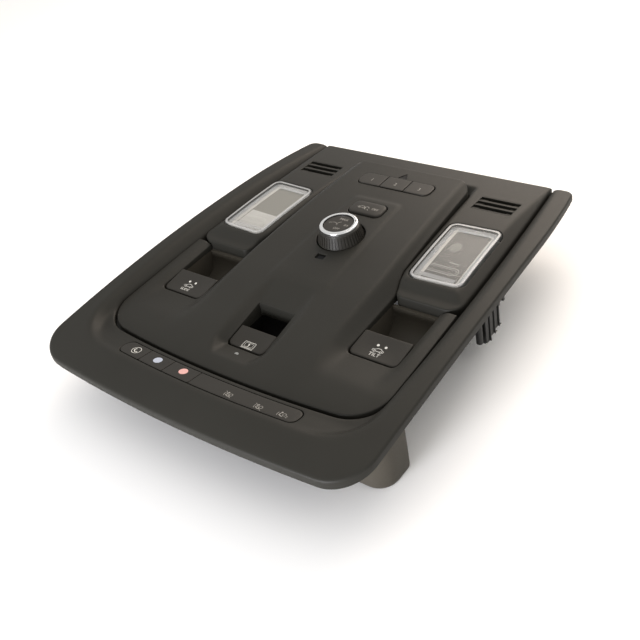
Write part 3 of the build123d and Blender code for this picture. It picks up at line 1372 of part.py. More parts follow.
with BuildPart() as right_switch_board:
    board = block_outline(
        TOWER_INNER + TOWER_WALL + ROCKER_GAP,
        TOWER_OUTER - TOWER_WALL - ROCKER_GAP,
        TOWER_RIB_FRONT_Y,
        TOWER_REAR_Y - TOWER_WALL - ROCKER_GAP,
        TOWER_BOARD_Z,
        TOWER_BOARD_R,
    )
    extrude(board, amount=BOARD_THICK)
pieces["right_switch_board"] = right_switch_board

with BuildPart() as left_switch_board:
    add(mirror(right_switch_board.part, about=Plane.YZ))
pieces["left_switch_board"] = left_switch_board

with BuildPart() as right_connector:
    add(socket_solid((TOWER_INNER + TOWER_OUTER) / 2, TOWER_REAR_Y, TOWER_SOCKET_Z, 1))
pieces["right_connector"] = right_connector

with BuildPart() as left_connector:
    add(mirror(right_connector.part, about=Plane.YZ))
pieces["left_connector"] = left_connector

# Sunshade switch: the same parts in a narrow well, with the board under the rocker
shade_x = SHADE_HALF + WELL_WALL
shade_front_y = SHADE_FRONT_Y - WELL_WALL + SEAT_GAP
shade_back_y = SHADE_BACK_Y + WELL_WALL - SEAT_GAP

with BuildPart() as sunshade_rocker:
    front = (SHADE_ROCKER_FRONT_Y, SHADE_ROCKER_FRONT_Z)
    rear = (SHADE_ROCKER_REAR_Y, SHADE_ROCKER_REAR_Z)
    add(rocker_solid(-SHADE_HALF + ROCKER_GAP, SHADE_HALF - ROCKER_GAP, front, rear, SHADE_PIVOT))
pieces["sunshade_rocker"] = sunshade_rocker

with BuildPart() as sunshade_rocker_pin:
    add(pin_solid(-shade_x, shade_x, SHADE_PIVOT))
pieces["sunshade_rocker_pin"] = sunshade_rocker_pin

with BuildPart() as sunshade_switch_housing:
    add(bucket(-shade_x, shade_x, shade_front_y, shade_back_y, SHADE_WELL_TOP, SHADE_PIVOT))
    for ear_y, root_y in zip(SHADE_EAR_YS, (shade_front_y, shade_back_y)):
        extrude(ear_plan(0, ear_y, 0, root_y, SHADE_WELL_TOP - EAR_THICK), amount=EAR_THICK)
    for side in (-1, 1):
        rail = block_outline(
            side * SHADE_HALF - CHEEK / 2,
            side * SHADE_HALF + CHEEK / 2,
            shade_front_y + WELL_WALL,
            SHADE_BOARD_REAR_Y,
            WELL_FLOOR,
        )
        extrude(rail, amount=SHADE_BOARD_Z - WELL_FLOOR)
pieces["sunshade_switch_housing"] = sunshade_switch_housing

with BuildPart() as sunshade_switch_board:
    board_x = SHADE_HALF - SEAT_GAP
    front_y = shade_front_y + WELL_WALL + SEAT_GAP
    board = block_outline(-board_x, board_x, front_y, SHADE_BOARD_REAR_Y, SHADE_BOARD_Z)
    extrude(board, amount=BOARD_THICK)
    with Locations((0, SHADE_PIVOT[0], SHADE_BOARD_Z + BOARD_THICK + SWITCH_HEIGHT / 2)):
        Box(SWITCH_SIZE, SWITCH_SIZE, SWITCH_HEIGHT)
pieces["sunshade_switch_board"] = sunshade_switch_board

# Front row: three keys, fixed indicator panel, module with board and dome mat under the dish
row_edges = (-ROW_HALF,) + ROW_SPLITS + (ROW_HALF,)
row_count = len(ROW_SPLITS)
row_limits = [
    (
        row_edges[place] + (ROW_GAP / 2 if place > 0 else 0),
        row_edges[place + 1] - (ROW_GAP / 2 if place < row_count else 0),
    )
    for place in range(row_count + 1)
]
row_stems = [(low + high) / 2 for low, high in row_limits[:row_count]]

with BuildPart() as call_button:
    add(row_key(*row_limits[0], row_stems[:1], ROW_STEM_END))
pieces["call_button"] = call_button

with BuildPart() as blue_dot_button:
    add(row_key(*row_limits[1], row_stems[1:2], ROW_STEM_END))
pieces["blue_dot_button"] = blue_dot_button

with BuildPart() as red_dot_button:
    add(row_key(*row_limits[2], row_stems[2:], ROW_STEM_END))
pieces["red_dot_button"] = red_dot_button

with BuildPart() as indicator_panel:
    add(row_key(*row_limits[3], ROW_LIGHT_XS, ROW_BOARD_Z + BOARD_THICK))
pieces["indicator_panel"] = indicator_panel

with BuildPart() as front_module_housing:
    module_top = SLOPE_FOOT - DISH_SKIN
    extrude(row_outline(ROW_MODULE_WALL, ROW_MODULE_BASE), amount=module_top - ROW_MODULE_BASE)
    extrude(above_floor(DISH_SKIN), amount=REACH, both=True, mode=Mode.SUBTRACT)
    extrude(row_outline(0, ROW_MODULE_BASE + ROW_MODULE_WALL), amount=HIGH, mode=Mode.SUBTRACT)
    for post_x in ROW_POST_XS:
        post = round_outline(post_x, row_y(post_x), STEM_R, ROW_MODULE_BASE + ROW_MODULE_WALL)
        extrude(post, amount=ROW_BOARD_Z - ROW_MODULE_BASE - ROW_MODULE_WALL)
    for side in (-1, 1):
        root_x = side * (ROW_HALF + ROW_MODULE_WALL / 2)
        ear = ear_plan(side * ROW_EAR_X, ROW_EAR_Y, root_x, ROW_EAR_Y, ROW_EAR_TOP - EAR_THICK)
        extrude(ear, amount=EAR_THICK)
pieces["front_module_housing"] = front_module_housing

with BuildPart() as front_module_board:
    extrude(row_outline(-ROW_BOARD_GAP, ROW_BOARD_Z), amount=BOARD_THICK)
pieces["front_module_board"] = front_module_board

with BuildPart() as front_mat:
    mat_base = ROW_BOARD_Z + BOARD_THICK
    extrude(row_outline(-2 * ROW_BOARD_GAP, mat_base), amount=MAT_THICK)
    key_side = block_outline(-REACH, ROW_SPLITS[-1], -REACH, FEET, mat_base)
    extrude(key_side, amount=MAT_THICK, mode=Mode.INTERSECT)
    for stem_x in row_stems:
        dome_low = round_outline(stem_x, row_y(stem_x), DOME_R, mat_base + MAT_THICK)
        dome_high = round_outline(stem_x, row_y(stem_x), STEM_R, mat_base + MAT_THICK + DOME_HEIGHT)
        loft([dome_low, dome_high], ruled=True)
pieces["front_mat"] = front_mat

with BuildPart() as front_connector:
    add(socket_solid(0, ROW_REAR_Y + ROW_MODULE_WALL + SEAT_GAP, ROW_SOCKET_Z, 1))
pieces["front_connector"] = front_connector

# Side brackets under the rails, spring clips and screws
bracket_x = (BRACKET_INNER + BRACKET_OUTER) / 2

with BuildPart() as right_side_bracket:
    plate_base = LEDGE_BASE - BRACKET_PLATE
    plate = block_outline(
        BRACKET_INNER, BRACKET_OUTER, BRACKET_FRONT_Y, BRACKET_REAR_Y, plate_base, TOWER_MARGIN
    )
    extrude(plate, amount=BRACKET_PLATE)
    web = block_outline(
        bracket_x - BRACKET_WEB / 2,
        bracket_x + BRACKET_WEB / 2,
        BRACKET_POST_Y + 2 * BRACKET_POST_R,
        BRACKET_REAR_Y - BRACKET_RIB,
        BRACKET_BASE,
    )
    extrude(web, amount=plate_base - BRACKET_BASE)
    rib_pitch = (BRACKET_REAR_Y - BRACKET_POST_Y - 2 * BRACKET_POST_R) / BRACKET_RIBS
    for place in range(BRACKET_RIBS):
        rib_y = BRACKET_REAR_Y - BRACKET_RIB - place * rib_pitch
        rib = block_outline(
            BRACKET_INNER + TOWER_MARGIN / 2,
            BRACKET_OUTER - TOWER_MARGIN / 2,
            rib_y - BRACKET_RIB / 2,
            rib_y + BRACKET_RIB / 2,
            BRACKET_BASE,
        )
        extrude(rib, amount=plate_base - BRACKET_BASE)
    post = round_outline(BRACKET_POST_X, BRACKET_POST_Y, BRACKET_POST_R, BRACKET_POST_BASE)
    extrude(post, amount=plate_base - BRACKET_POST_BASE)
pieces["right_side_bracket"] = right_side_bracket

with BuildPart() as left_side_bracket:
    add(mirror(right_side_bracket.part, about=Plane.YZ))
pieces["left_side_bracket"] = left_side_bracket

with BuildPart() as spring_clips:
    for side in (-1, 1):
        tower_plane = Plane((side * REAR_TOWER_X, REAR_TOWER_Y, 0), x_dir=(0, 1, 0), z_dir=(1, 0, 0))
        tower_clip = clip_profile(tower_plane, TOWER_DEPTH / 2, REAR_TOWER_BASE, CLIP_HEIGHT)
        extrude(tower_clip, amount=CLIP_WIDTH / 2, both=True)
        post_plane = Plane((side * BRACKET_POST_X, BRACKET_POST_Y, 0), x_dir=(1, 0, 0), z_dir=(0, -1, 0))
        post_clip = clip_profile(post_plane, BRACKET_POST_R, BRACKET_POST_BASE, POST_CLIP_HEIGHT)
        extrude(post_clip, amount=POST_CLIP_WIDTH / 2, both=True)
pieces["spring_clips"] = spring_clips

with BuildPart() as housing_screws:
    ear_tops = panel_bosses + [(side * ROW_EAR_X, ROW_EAR_Y, ROW_EAR_TOP) for side in (-1, 1)]
    for x, y, z in ear_tops:
        seat_z = z - EAR_THICK
        extrude(round_outline(x, y, SCREW_HEAD_R, seat_z - SCREW_HEAD), amount=SCREW_HEAD)
        extrude(round_outline(x, y, SCREW_R, seat_z), amount=SCREW_LENGTH)
pieces["housing_screws"] = housing_screws

for name, builder in pieces.items():
    builder.part.label = name
    export_step(builder.part, f"parts/{name}.step")
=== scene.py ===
import math

import bmesh
import bpy
import numpy as np
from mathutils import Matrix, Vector, geometry


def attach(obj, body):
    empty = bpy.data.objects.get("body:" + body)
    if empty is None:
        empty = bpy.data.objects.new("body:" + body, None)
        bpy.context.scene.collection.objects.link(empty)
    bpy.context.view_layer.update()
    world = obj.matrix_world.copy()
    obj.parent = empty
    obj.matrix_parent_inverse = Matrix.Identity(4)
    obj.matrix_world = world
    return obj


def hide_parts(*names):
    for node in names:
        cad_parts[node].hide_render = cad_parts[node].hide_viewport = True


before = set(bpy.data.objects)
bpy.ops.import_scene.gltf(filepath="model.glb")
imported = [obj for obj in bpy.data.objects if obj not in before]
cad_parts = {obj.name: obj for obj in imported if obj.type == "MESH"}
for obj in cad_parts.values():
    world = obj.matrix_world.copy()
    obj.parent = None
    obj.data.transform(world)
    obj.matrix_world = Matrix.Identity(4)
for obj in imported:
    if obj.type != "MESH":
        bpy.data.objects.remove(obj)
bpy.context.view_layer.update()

# The overhead console lies on its back, face up. Places and sizes below are in millimetres,
# in the same axes as the solids: x to the tilt switch, y to the rear edge, z out of the face.
MM = 0.001
HALF_LENGTH = 149.25
SEAM = 0.7
SIDES = (("right", 1), ("left", -1))

# Bezel rim in plan: front corner, widest place and rear end of its side, then its rear corner
RIM_PLAN = ((130.4, -143.5), (127.8, -1.5), (124.0, 79.0))
RIM_REAR_HALF = 115.8
RIM_CORNER_R = 26.0
RIM_REAR_R = 7.0

# Bezel rim along the length: places and heights of its crown, and how it rolls over in front
RIM_CROWN = ((-122.0, 45.8), (22.0, 51.5), (151.75, 45.6))
ROLL_SLOPE = 0.0665
ROLL_DROP = 4.8
LIP_TOP = 44.3

# Console opening: places along the length with half widths, and the bowed mouth of its dish
OPENING_PLAN = ((-100.1, 111.6), (12.0, 109.4), (HALF_LENGTH, 99.9))
OPENING_FRONT_Y, OPENING_FRONT_HALF = OPENING_PLAN[0]
OPENING_R = 26.0
MOUTH_Y = -107.0
MOUTH_BOW = 6.9
DISH_WIDTH = 17.5
DISH_LINE = ((-125.0, 44.7), (-106.5, 41.2))

# Under the bezel: crossbar and clip towers at the rear, posts under the dish
REAR_BAR_HALF = 94.0
REAR_BAR_WIDTH = 12.0
REAR_TOWER_X = 45.0
REAR_TOWER_HALF = 6.0
REAR_TOWER_YS = (140.0, 146.4)
REAR_TOWER_BASE = 9.0
DISH_POST_X = 79.5
DISH_POST_Y = -113.8
DISH_POST_R = 3.4
DISH_POST_ZS = (34.0, 40.8)

# Levels of the panels' undersides and hems
LEDGE_TOP = 37.5
LEDGE_BASE = 34.5
WELL_TOP = 38.5
PANEL_SKIN = 2.8
PANEL_WALL = 3.0

# Sunroof and sunshade wells, and the faces of their rockers: front and rear, place and height
WELL_INNER = 62.4
WELL_OUTER = 98.2
WELL_FRONT_Y = -54.9
WELL_R = 4.0
SHADE_HALF = 15.2
SHADE_FRONT_Y = -79.9
SHADE_BACK_Y = -43.0
SHADE_RADII = (3.5, 3.5, 0.8, 0.8)
COLLAR_WALL = 2.0
COLLAR_GAP = 0.05
COLLAR_BASE = 34.7
SUNROOF_LINE = ((-53.7, 40.2), (-33.0, 42.3))
SHADE_LINE = ((-78.8, 38.6), (-62.5, 41.4))
ROCKER_RADII = (3.8, 3.8, 0.8, 0.8)
ROCKER_HOLLOW = 0.9
ROCKER_SKIRT = 7.0
ROCKER_SIGN_X = 80.2

# Centre panel: crown on the middle line, plan of its front corners and of its neck
CENTRE_CROWN = ((-106.0, 40.4), (5.0, 52.7), (101.0, 55.6))
CENTRE_FRONT_Y = -105.0
CENTRE_CORNER_Y = -98.1
PANEL_BACK_Y = -1.6
NECK_PLAN = ((1.75, WELL_INNER), (20.0, 57.2), (123.5, 50.9))
NECK_REAR_Y = NECK_PLAN[-1][0]
NECK_R = 12.0

# Centre panel at places along the length: half widths of crease and foot, and heights of the
# foot, the bowl outside it, the rail and the edge
PANEL_PLACES = (-108.0, -79.0, WELL_FRONT_Y, 0.0, 25.0, 60.0, 126.0)
CREASE_HALF = (56.0, 55.0, 52.8, 52.2, 50.4, 48.4, 44.4)
FOOT_HALF = (62.4, 62.4, 62.4, 62.4, 57.0, 54.6, 50.4)
FOOT_Z = (40.9, 43.7, 40.4, 42.6, 48.3, 50.4, 51.8)
BOWL_Z = (40.8, 43.5, 40.4, 42.6, 48.3, 50.4, 51.8)
RAIL_Z = (40.6, 43.5, 43.9, 45.4, 48.3, 50.4, 51.8)
EDGE_Z = (39.6, 42.4, 43.3, 45.2, 48.3, 50.4, 51.8)
RAIL_HALF = 102.7
EDGE_HALF = 112.6
SOFT_FRONT = (40.0, 62.0)

# Sunshade bowl at places along the length
BOWL_PLACES = (-94.0, SHADE_FRONT_Y, SHADE_BACK_Y, -20.0)
BOWL_FLOOR_HALF = (13.2, 15.5, 15.5, 18.0)
BOWL_WALL_HALF = (18.0, 21.0, 22.5, 24.0)

# Raised pad on the neck
PAD_FRONT_Y = -24.0
PAD_REAR_Y = 78.0
PAD_FRONT_HALF = 24.0
PAD_REAR_HALF = 20.0
PAD_R = 4.0
PAD_FALL = 0.9
PAD_RISE = (-26.0, -16.0)

# Lamp panel: crown, and its noses that roll over into the wells
LAMP_CROWN = ((12.5, 50.1), (54.0, 51.1), (HALF_LENGTH, 45.6))
NOSE_Y = -0.75
NOSE_LINE = ((NOSE_Y, 45.5), (6.5, 46.1), (12.5, 50.1))
NOSE_R = 10.5
LAMP_EDGE_Z = 45.3
GROOVE_SIDE_Z = 48.3
GROOVE_REAR_Z = 44.5

# Map lamp lens, its prisms, and the frame under it: half sizes, corner and depth of each ring
LENS_X = 80.65
LENS_Y = 47.75
LENS_WIDTH = 39.3
LENS_LENGTH = 65.0
LENS_R = 6.5
LENS_TURN = math.radians(2.8)
LENS_PROUD = 0.3
LENS_BASE = 44.0
LENS_SKIN = 1.8
PRISM_DROP = 2.0
PRISM_PITCH = 0.9
FRONT_PRISM_HALF = 13.2
FRONT_PRISM_DEPTH = 0.3
LENS_FRAME = ((17.4, 30.4, 5.5, 2.6), (14.6, 27.6, 3.0, 2.6), (12.6, 27.0, 1.6, 3.4))
DIFFUSER_DROP = 3.45
PATCH_DROP = 3.38

# Microphone louvres
GRILLE_X = 76.6
GRILLE_WIDTH = 20.7
GRILLE_POCKET = 30.0
GRILLE_REAR_Y = 117.6
GRILLE_PITCH = 5.9
GRILLE_BAR = 0.6
GRILLE_SLOT = 2.6
GRILLE_DEPTH = 1.8
GRILLE_COUNT = 3
BLADE_THICK = 1.0
RISER_DEPTH = 3.2
GAUZE_DROP = 0.7
GAUZE_THICK = 0.15

# Neck keys, knob and windows
STRIP_HALF = 30.6
STRIP_FRONT_Y = 93.8
STRIP_REAR_Y = 108.2
STRIP_R = 5.0
SQUARE_R = 0.4
OVERRIDE_HALF = 13.6
OVERRIDE_FRONT_Y = 56.9
OVERRIDE_REAR_Y = 71.9
OVERRIDE_R = 5.0
OVERRIDE_PROUD = 2.0
OVERRIDE_RUN = 7.5
OVERRIDE_FALL = (0.5, 0.35)
KEY_GAP = 0.5
KEY_PROUD = 0.6
KEY_BASE = 50.6
KEY_WALL = 1.3
KEY_SKIN = 1.8
KNOB_Y = 31.0
KNOB_HOLE_R = 17.2
CAP_TOP = 64.3
RING_TOP = 65.1
SENSOR_Y = 6.9
SENSOR_HALF = 3.45
SENSOR_RUN = 2.7
ARROW_Y = 112.0
ARROW_SIDE = 7.4

# Front button row
ROW_HALF = 73.6
ROW_FRONT_Y = -123.4
ROW_REAR_Y = -110.2
ROW_BOW = 3.0
ROW_R = 5.0
ROW_SPLITS = (-52.2, -29.9, -6.4)
ROW_GAP = 0.4
ROW_PROUD = 0.2
ROW_BASE = 38.8

# Front tower under the right-hand corner: plan, then the draft at each level
TOWER_BOX = (84.0, 123.2, -110.0, -83.0)
TOWER_TOP = 34.3
TOWER_LEVELS = ((TOWER_TOP, 0.0), (26.0, 0.0), (14.0, 0.1), (3.0, 0.2), (1.2, 0.4), (0.3, 0.9), (0.0, 1.6))
TOWER_WALL = 2.0
TOWER_FLOOR = 3.0

# Clip tower of the right side bracket: ribs as front, rear and base, post, and spring tips
CLIP_INNER_X = 114.3
CLIP_FACE_X = 119.0
CLIP_RIBS = ((13.6, 19.0, 13.2), (18.8, 24.6, 15.0), (24.4, 30.2, 16.8))
CLIP_POST = (116.6, 9.4, 2.2)
CLIP_POST_BASE = 16.6
CLIP_TIPS = ((31.2, 16.4), (25.4, 14.6), (12.6, 14.6))

# Meshes: distances in metres for welding, the angle above which an edge stays sharp, and as shares
# of the points' spacing, how far apart their rows are and how far they keep from an outline
WELD = 4e-6
SHORTEST_EDGE = 1e-6
SHARP_ANGLE = math.radians(35.0)
EVEN_ROWS = 0.866
CLEAR_SHARE = 0.6

# Pad prints: how far they stand off their surface, a car outline 8 mm long, and places of signs
PRINT_LIFT = 0.05
CAP_LIFT = 0.03
MARK_LIFT = 0.02
CAR_BODY = (
    (-4.2, -1.1), (-4.2, -0.1), (-3.9, 0.25), (-2.2, 0.45), (-0.9, 1.6), (1.6, 1.6),
    (2.9, 0.5), (3.9, 0.35), (4.2, -0.1), (4.2, -1.1), (3.3, -1.1),
)
SILL_Y = -1.1
WHEEL_X = 2.4
WHEEL_R = 0.75
CALL_SIGN = (-61.2, -114.4)
BLUE_DOT = (-40.4, -115.2)
RED_DOT = (-17.2, -115.6)
DOT_RADII = (3.1, 2.9)
RESTRAINT_SIGNS = ((23.3, -118.6), (46.3, -118.3), (62.4, -116.6))

# Studio, in metres: floor, camera, softboxes with place, target, size, power and colour,
# and the light all round, which is brighter from one side
FLOOR_SIZE = 6.0
CAMERA_PLACE = (0.34014, -0.35073, 0.38328)
CAMERA_TURN = (51.5004, 10.0441, 36.8052)
CAMERA_LENS = 49.5
AMBIENT = (0.2, 1.4)
GLOSS_LEVEL = 0.75
BRIGHT_SIDE = (-0.3, 0.55, 0.4)
SOFTBOXES = (
    ("rear_softbox", (-0.05, 0.75, 0.5), (0.0, 0.08, 0.04), 0.7, 6.2, "ffefdf"),
    ("right_softbox", (1.1, 0.1, 0.9), (0, 0, 0.04), 0.9, 1.5, "fffaf4"),
    ("front_fill", (0.0, -1.0, 0.06), (0, 0, 0.045), 0.5, 22.0, "f8f9ff"),
)


def linear(hex_colour):
    """An sRGB hex colour as linear red, green, blue and alpha."""
    parts = [int(hex_colour[i : i + 2], 16) / 255 for i in (0, 2, 4)]
    return tuple(c / 12.92 if c <= 0.04045 else ((c + 0.055) / 1.055) ** 2.4 for c in parts) + (1.0,)


def add_node(tree, kind, settings=None, inputs=None):
    """Adds a shader node, with its settings, and its inputs as values or as links."""
    node = tree.nodes.new(kind)
    for name, value in (settings or {}).items():
        setattr(node, name, value)
    for name, value in (inputs or {}).items():
        if isinstance(value, bpy.types.NodeSocket):
            tree.links.new(value, node.inputs[name])
        else:
            node.inputs[name].default_value = value
    return node


def new_material(name):
    """An empty material with its Principled shader linked to the output."""
    material = bpy.data.materials.new(name)
    material.use_nodes = True
    tree = material.node_tree
    tree.nodes.clear()
    output = add_node(tree, "ShaderNodeOutputMaterial")
    shader = add_node(tree, "ShaderNodeBsdfPrincipled")
    tree.links.new(shader.outputs["BSDF"], output.inputs["Surface"])
    return material, tree, shader


MIX_FACTOR, MIX_A, MIX_B, MIX_RESULT = 0, 6, 7, 2
DRIFT_MM = 40.0


def colour_mix(tree, factor, dark, light):
    """Colour that drifts between two hex colours."""
    mix = add_node(tree, "ShaderNodeMix", {"data_type": "RGBA"}, {MIX_FACTOR: factor})
    mix.inputs[MIX_A].default_value = linear(dark)
    mix.inputs[MIX_B].default_value = linear(light)
    return mix.outputs[MIX_RESULT]


def moulded(name, dark, light, roughness, grain_mm, depth_mm, specular=0.5):
    """Moulded plastic: grain of a real size, slight colour drift, and polish that follows the grain."""
    material, tree, shader = new_material(name)
    place = add_node(tree, "ShaderNodeTexCoord").outputs["Object"]
    drift = add_node(tree, "ShaderNodeTexNoise", None, {"Vector": place, "Scale": 1 / (DRIFT_MM * MM)})
    colour = colour_mix(tree, drift.outputs["Fac"], dark, light)
    cells = {"Vector": place, "Scale": 1 / (grain_mm * MM)}
    grain = add_node(tree, "ShaderNodeTexVoronoi", {"feature": "F1"}, cells)
    low, high = roughness - 0.04, roughness + 0.05
    levels = {"Value": grain.outputs["Distance"], "From Max": 0.8, "To Min": low, "To Max": high}
    polish = add_node(tree, "ShaderNodeMapRange", None, levels)
    relief = {"Height": grain.outputs["Distance"], "Strength": 0.3, "Distance": depth_mm * MM}
    bump = add_node(tree, "ShaderNodeBump", None, relief)
    tree.links.new(colour, shader.inputs["Base Color"])
    tree.links.new(polish.outputs["Result"], shader.inputs["Roughness"])
    tree.links.new(bump.outputs["Normal"], shader.inputs["Normal"])
    shader.inputs["Specular IOR Level"].default_value = specular
    shader.inputs["IOR"].default_value = 1.52
    return material


# The real grains of these are about 0.1 to 0.3 mm wide. Most are drawn two to four times as coarse,
# so that they show.

# Soft-grained ABS of the three face panels: fine eroded grain that kills the gloss, warm dark grey
FACE = moulded("grained_abs_face", "262521", "2b2a26", 0.48, 0.6, 0.035, 0.15)
# Satin ABS of keys and rockers: finer grain, a little smoother to the eye than the face
KEY = moulded("satin_abs_keys", "2a2824", "2f2d29", 0.42, 0.35, 0.015, 0.18)
# Plain ABS of the housings underneath: natural sheen, greyer and browner
HOUSING = moulded("plain_abs_housings", "403c35", "46423a", 0.5, 0.9, 0.03, 0.2)
# ABS of the housings round the finger wells, painted near black: painted shade for the wells, which are
# hardly lit
WELL_SHADE = moulded("painted_shade_wells", "100f0e", "141312", 0.5, 0.6, 0.02, 0.08)
# Glass-filled nylon of brackets, sockets and sensors: near black with a dull shine
NYLON = moulded("black_nylon", "121211", "181817", 0.38, 0.5, 0.02, 0.4)
# Silicone rubber of the dome mats: pale, matt, with faint cloudiness
SILICONE = moulded("silicone_mat", "8b8c8a", "9a9b98", 0.6, 0.4, 0.01)
# Lacquered circuit boards: green solder mask with the cloth weave showing through
BOARD = moulded("solder_mask", "123a22", "18492c", 0.3, 0.8, 0.01)
# White filled ABS of the lamp reflectors, frames and marks: bright and matt, scatters the lamp's light
REFLECTOR = moulded("white_reflector", "a5a4a0", "adaca8", 0.4, 0.9, 0.01, 0.3)
# Filled acrylic sheet of the diffusers, milky and without gloss: grey with a paler spot behind the
# right lens, warm grey behind the left
SMOKE_GREY = moulded("grey_diffuser", "43413d", "484642", 0.4, 0.9, 0.005, 0.2)
SPOT_GREY = moulded("light_spot", "686762", "6e6d68", 0.4, 0.9, 0.005, 0.2)
WARM_GREY = moulded("warm_grey_diffuser", "6c6a62", "727068", 0.4, 0.9, 0.005, 0.2)
# Smoked acrylic of the sensor and transmitter windows: deep, nearly black, with a soft shine
SMOKED = moulded("smoked_acrylic", "060606", "090909", 0.3, 1.0, 0.003, 0.1)
# Pad-printed ink of the signs: thin and matt, off-white on the rockers, grey on the keys, black marks
INK = moulded("white_pad_print", "c4c3bd", "d0cfca", 0.55, 0.2, 0.004)
DIM_INK = moulded("dim_pad_print", "8d8a83", "989590", 0.55, 0.2, 0.004)
BLACK_INK = moulded("black_pad_print", "0c0c0c", "131313", 0.5, 0.2, 0.004)
# Lacquered dots of the two round call keys: smooth, pale blue and pale pink
BLUE_LACQUER = moulded("pale_blue_lacquer", "a9b0c1", "b3bac9", 0.4, 0.3, 0.004)
PINK_LACQUER = moulded("pale_pink_lacquer", "d9a29c", "e0aea8", 0.4, 0.3, 0.004)


def metal(name, colour, roughness, streak_mm, squeeze):
    """Bare or plated metal with fine streaks from drawing or polishing."""
    material, tree, shader = new_material(name)
    place = add_node(tree, "ShaderNodeTexCoord").outputs["Object"]
    squeezed = add_node(tree, "ShaderNodeMapping", None, {"Vector": place, "Scale": squeeze})
    fine = {"Vector": squeezed.outputs["Vector"], "Scale": 1 / (streak_mm * MM), "Detail": 2.0}
    streak = add_node(tree, "ShaderNodeTexNoise", None, fine)
    levels = {"Value": streak.outputs["Fac"], "To Min": roughness * 0.8, "To Max": roughness * 1.3}
    polish = add_node(tree, "ShaderNodeMapRange", None, levels)
    shader.inputs["Base Color"].default_value = linear(colour)
    shader.inputs["Metallic"].default_value = 1.0
    tree.links.new(polish.outputs["Result"], shader.inputs["Roughness"])
    return material


# Real streaks are about 0.05 mm wide. They are drawn coarser, so that they show.

# Satin chrome plating of the knob's ring: bright, with faint polishing marks
CHROME = metal("satin_chrome", "e6e6e5", 0.22, 1.5, (1.0, 1.0, 1.0))
# Drawn steel of pins and screws: grey, finely streaked
STEEL = metal("drawn_steel", "a9a8a4", 0.3, 0.3, (1.0, 1.0, 0.1))
# Rolled spring steel of the clips: bright, with fine rolling marks
SPRING = metal("rolled_spring_steel", "c4c3be", 0.22, 0.3, (1.0, 0.1, 1.0))


def clear_plastic(name, tint, opacity, roughness, wave_mm, depth_mm):
    """Clear polycarbonate: lets most of the light through, with a faint moulded wave."""
    material, tree, shader = new_material(name)
    place = add_node(tree, "ShaderNodeTexCoord").outputs["Object"]
    wave = add_node(tree, "ShaderNodeTexNoise", None, {"Vector": place, "Scale": 1 / (wave_mm * MM)})
    relief = {"Height": wave.outputs["Fac"], "Strength": 0.4, "Distance": depth_mm * MM}
    bump = add_node(tree, "ShaderNodeBump", None, relief)
    shader.inputs["Base Color"].default_value = linear(tint)
    shader.inputs["Alpha"].default_value = opacity
    shader.inputs["IOR"].default_value = 1.58
    shader.inputs["Roughness"].default_value = roughness
    tree.links.new(bump.outputs["Normal"], shader.inputs["Normal"])
    return material


# Clear moulded polycarbonate of the map lamp lenses: soft gloss with a slow wave, and the same with
# prisms, which scatter the light and look pale
LENS = clear_plastic("clear_polycarbonate", "d8dad9", 0.07, 0.16, 12.0, 0.004)
PRISM = clear_plastic("prismatic_polycarbonate", "b9babb", 0.6, 0.2, 1.0, 0.05)


def arc(front, middle, rear, at):
    """Height of the arc through three points."""
    (a, b), (c, d), (e, f) = front, middle, rear
    det = 4 * ((c - a) * (f - b) - (e - a) * (d - b))
    p = c * c - a * a + d * d - b * b
    q = e * e - a * a + f * f - b * b
    centre_y = 2 * (p * (f - b) - q * (d - b)) / det
    centre_z = 2 * (q * (c - a) - p * (e - a)) / det
    radius = math.hypot(a - centre_y, b - centre_z)
    return centre_z + np.sqrt(np.maximum(radius**2 - (at - centre_y) ** 2, 0.0))


def crown(y):
    """Centre panel on its middle line."""
    return arc(*CENTRE_CROWN, y)


def lamp_crown(y):
    """Lamp panel."""
    return arc(*LAMP_CROWN, y)


def dish_floor(y):
    """Sloping floor of the front dish."""
    (y0, z0), (y1, z1) = DISH_LINE
    return z0 + (y - y0) * (z1 - z0) / (y1 - y0)


def opening_half(y):
    """Half width of the console opening."""
    return arc(*OPENING_PLAN, y)


def neck_half(y):
    """Half width of the neck."""
    return np.interp(y, *zip(*NECK_PLAN))


def pad_half(y):
    """Half width of the pad on the neck."""
    return np.interp(y, (PAD_FRONT_Y, PAD_REAR_Y), (PAD_FRONT_HALF, PAD_REAR_HALF))


STEP = 0.5
GRID_X = np.arange(-136.0, 136.0 + STEP, STEP)
GRID_Y = np.arange(-156.0, 156.0 + STEP, STEP)
PLAN_X, PLAN_Y = np.meshgrid(GRID_X, GRID_Y)


def soften(field, sigma):
    """Blurs a height field over a real distance, so that its folds are soft."""
    reach = int(3 * sigma / STEP)
    weights = np.exp(-0.5 * (np.arange(-reach, reach + 1) * STEP / sigma) ** 2)
    weights /= weights.sum()
    for axis in (0, 1):
        pads = [(reach, reach) if a == axis else (0, 0) for a in (0, 1)]
        padded = np.pad(field, pads, mode="edge")
        count = field.shape[axis]
        field = sum(w * np.take(padded, np.arange(i, i + count), axis=axis) for i, w in enumerate(weights))
    return field


def sampler(field):
    """Reads a height field at any places."""

    def height(points):
        u = np.clip((points[:, 0] - GRID_X[0]) / STEP, 0, len(GRID_X) - 1.001)
        v = np.clip((points[:, 1] - GRID_Y[0]) / STEP, 0, len(GRID_Y) - 1.001)
        i, j = u.astype(int), v.astype(int)
        s, t = u - i, v - j
        low = field[j, i] * (1 - s) + field[j, i + 1] * s
        high = field[j + 1, i] * (1 - s) + field[j + 1, i + 1] * s
        return low * (1 - t) + high * t

    return height


def ramp(value, low, high):
    """Rises from 0 to 1 between two values."""
    return np.clip((value - low) / (high - low), 0.0, 1.0)


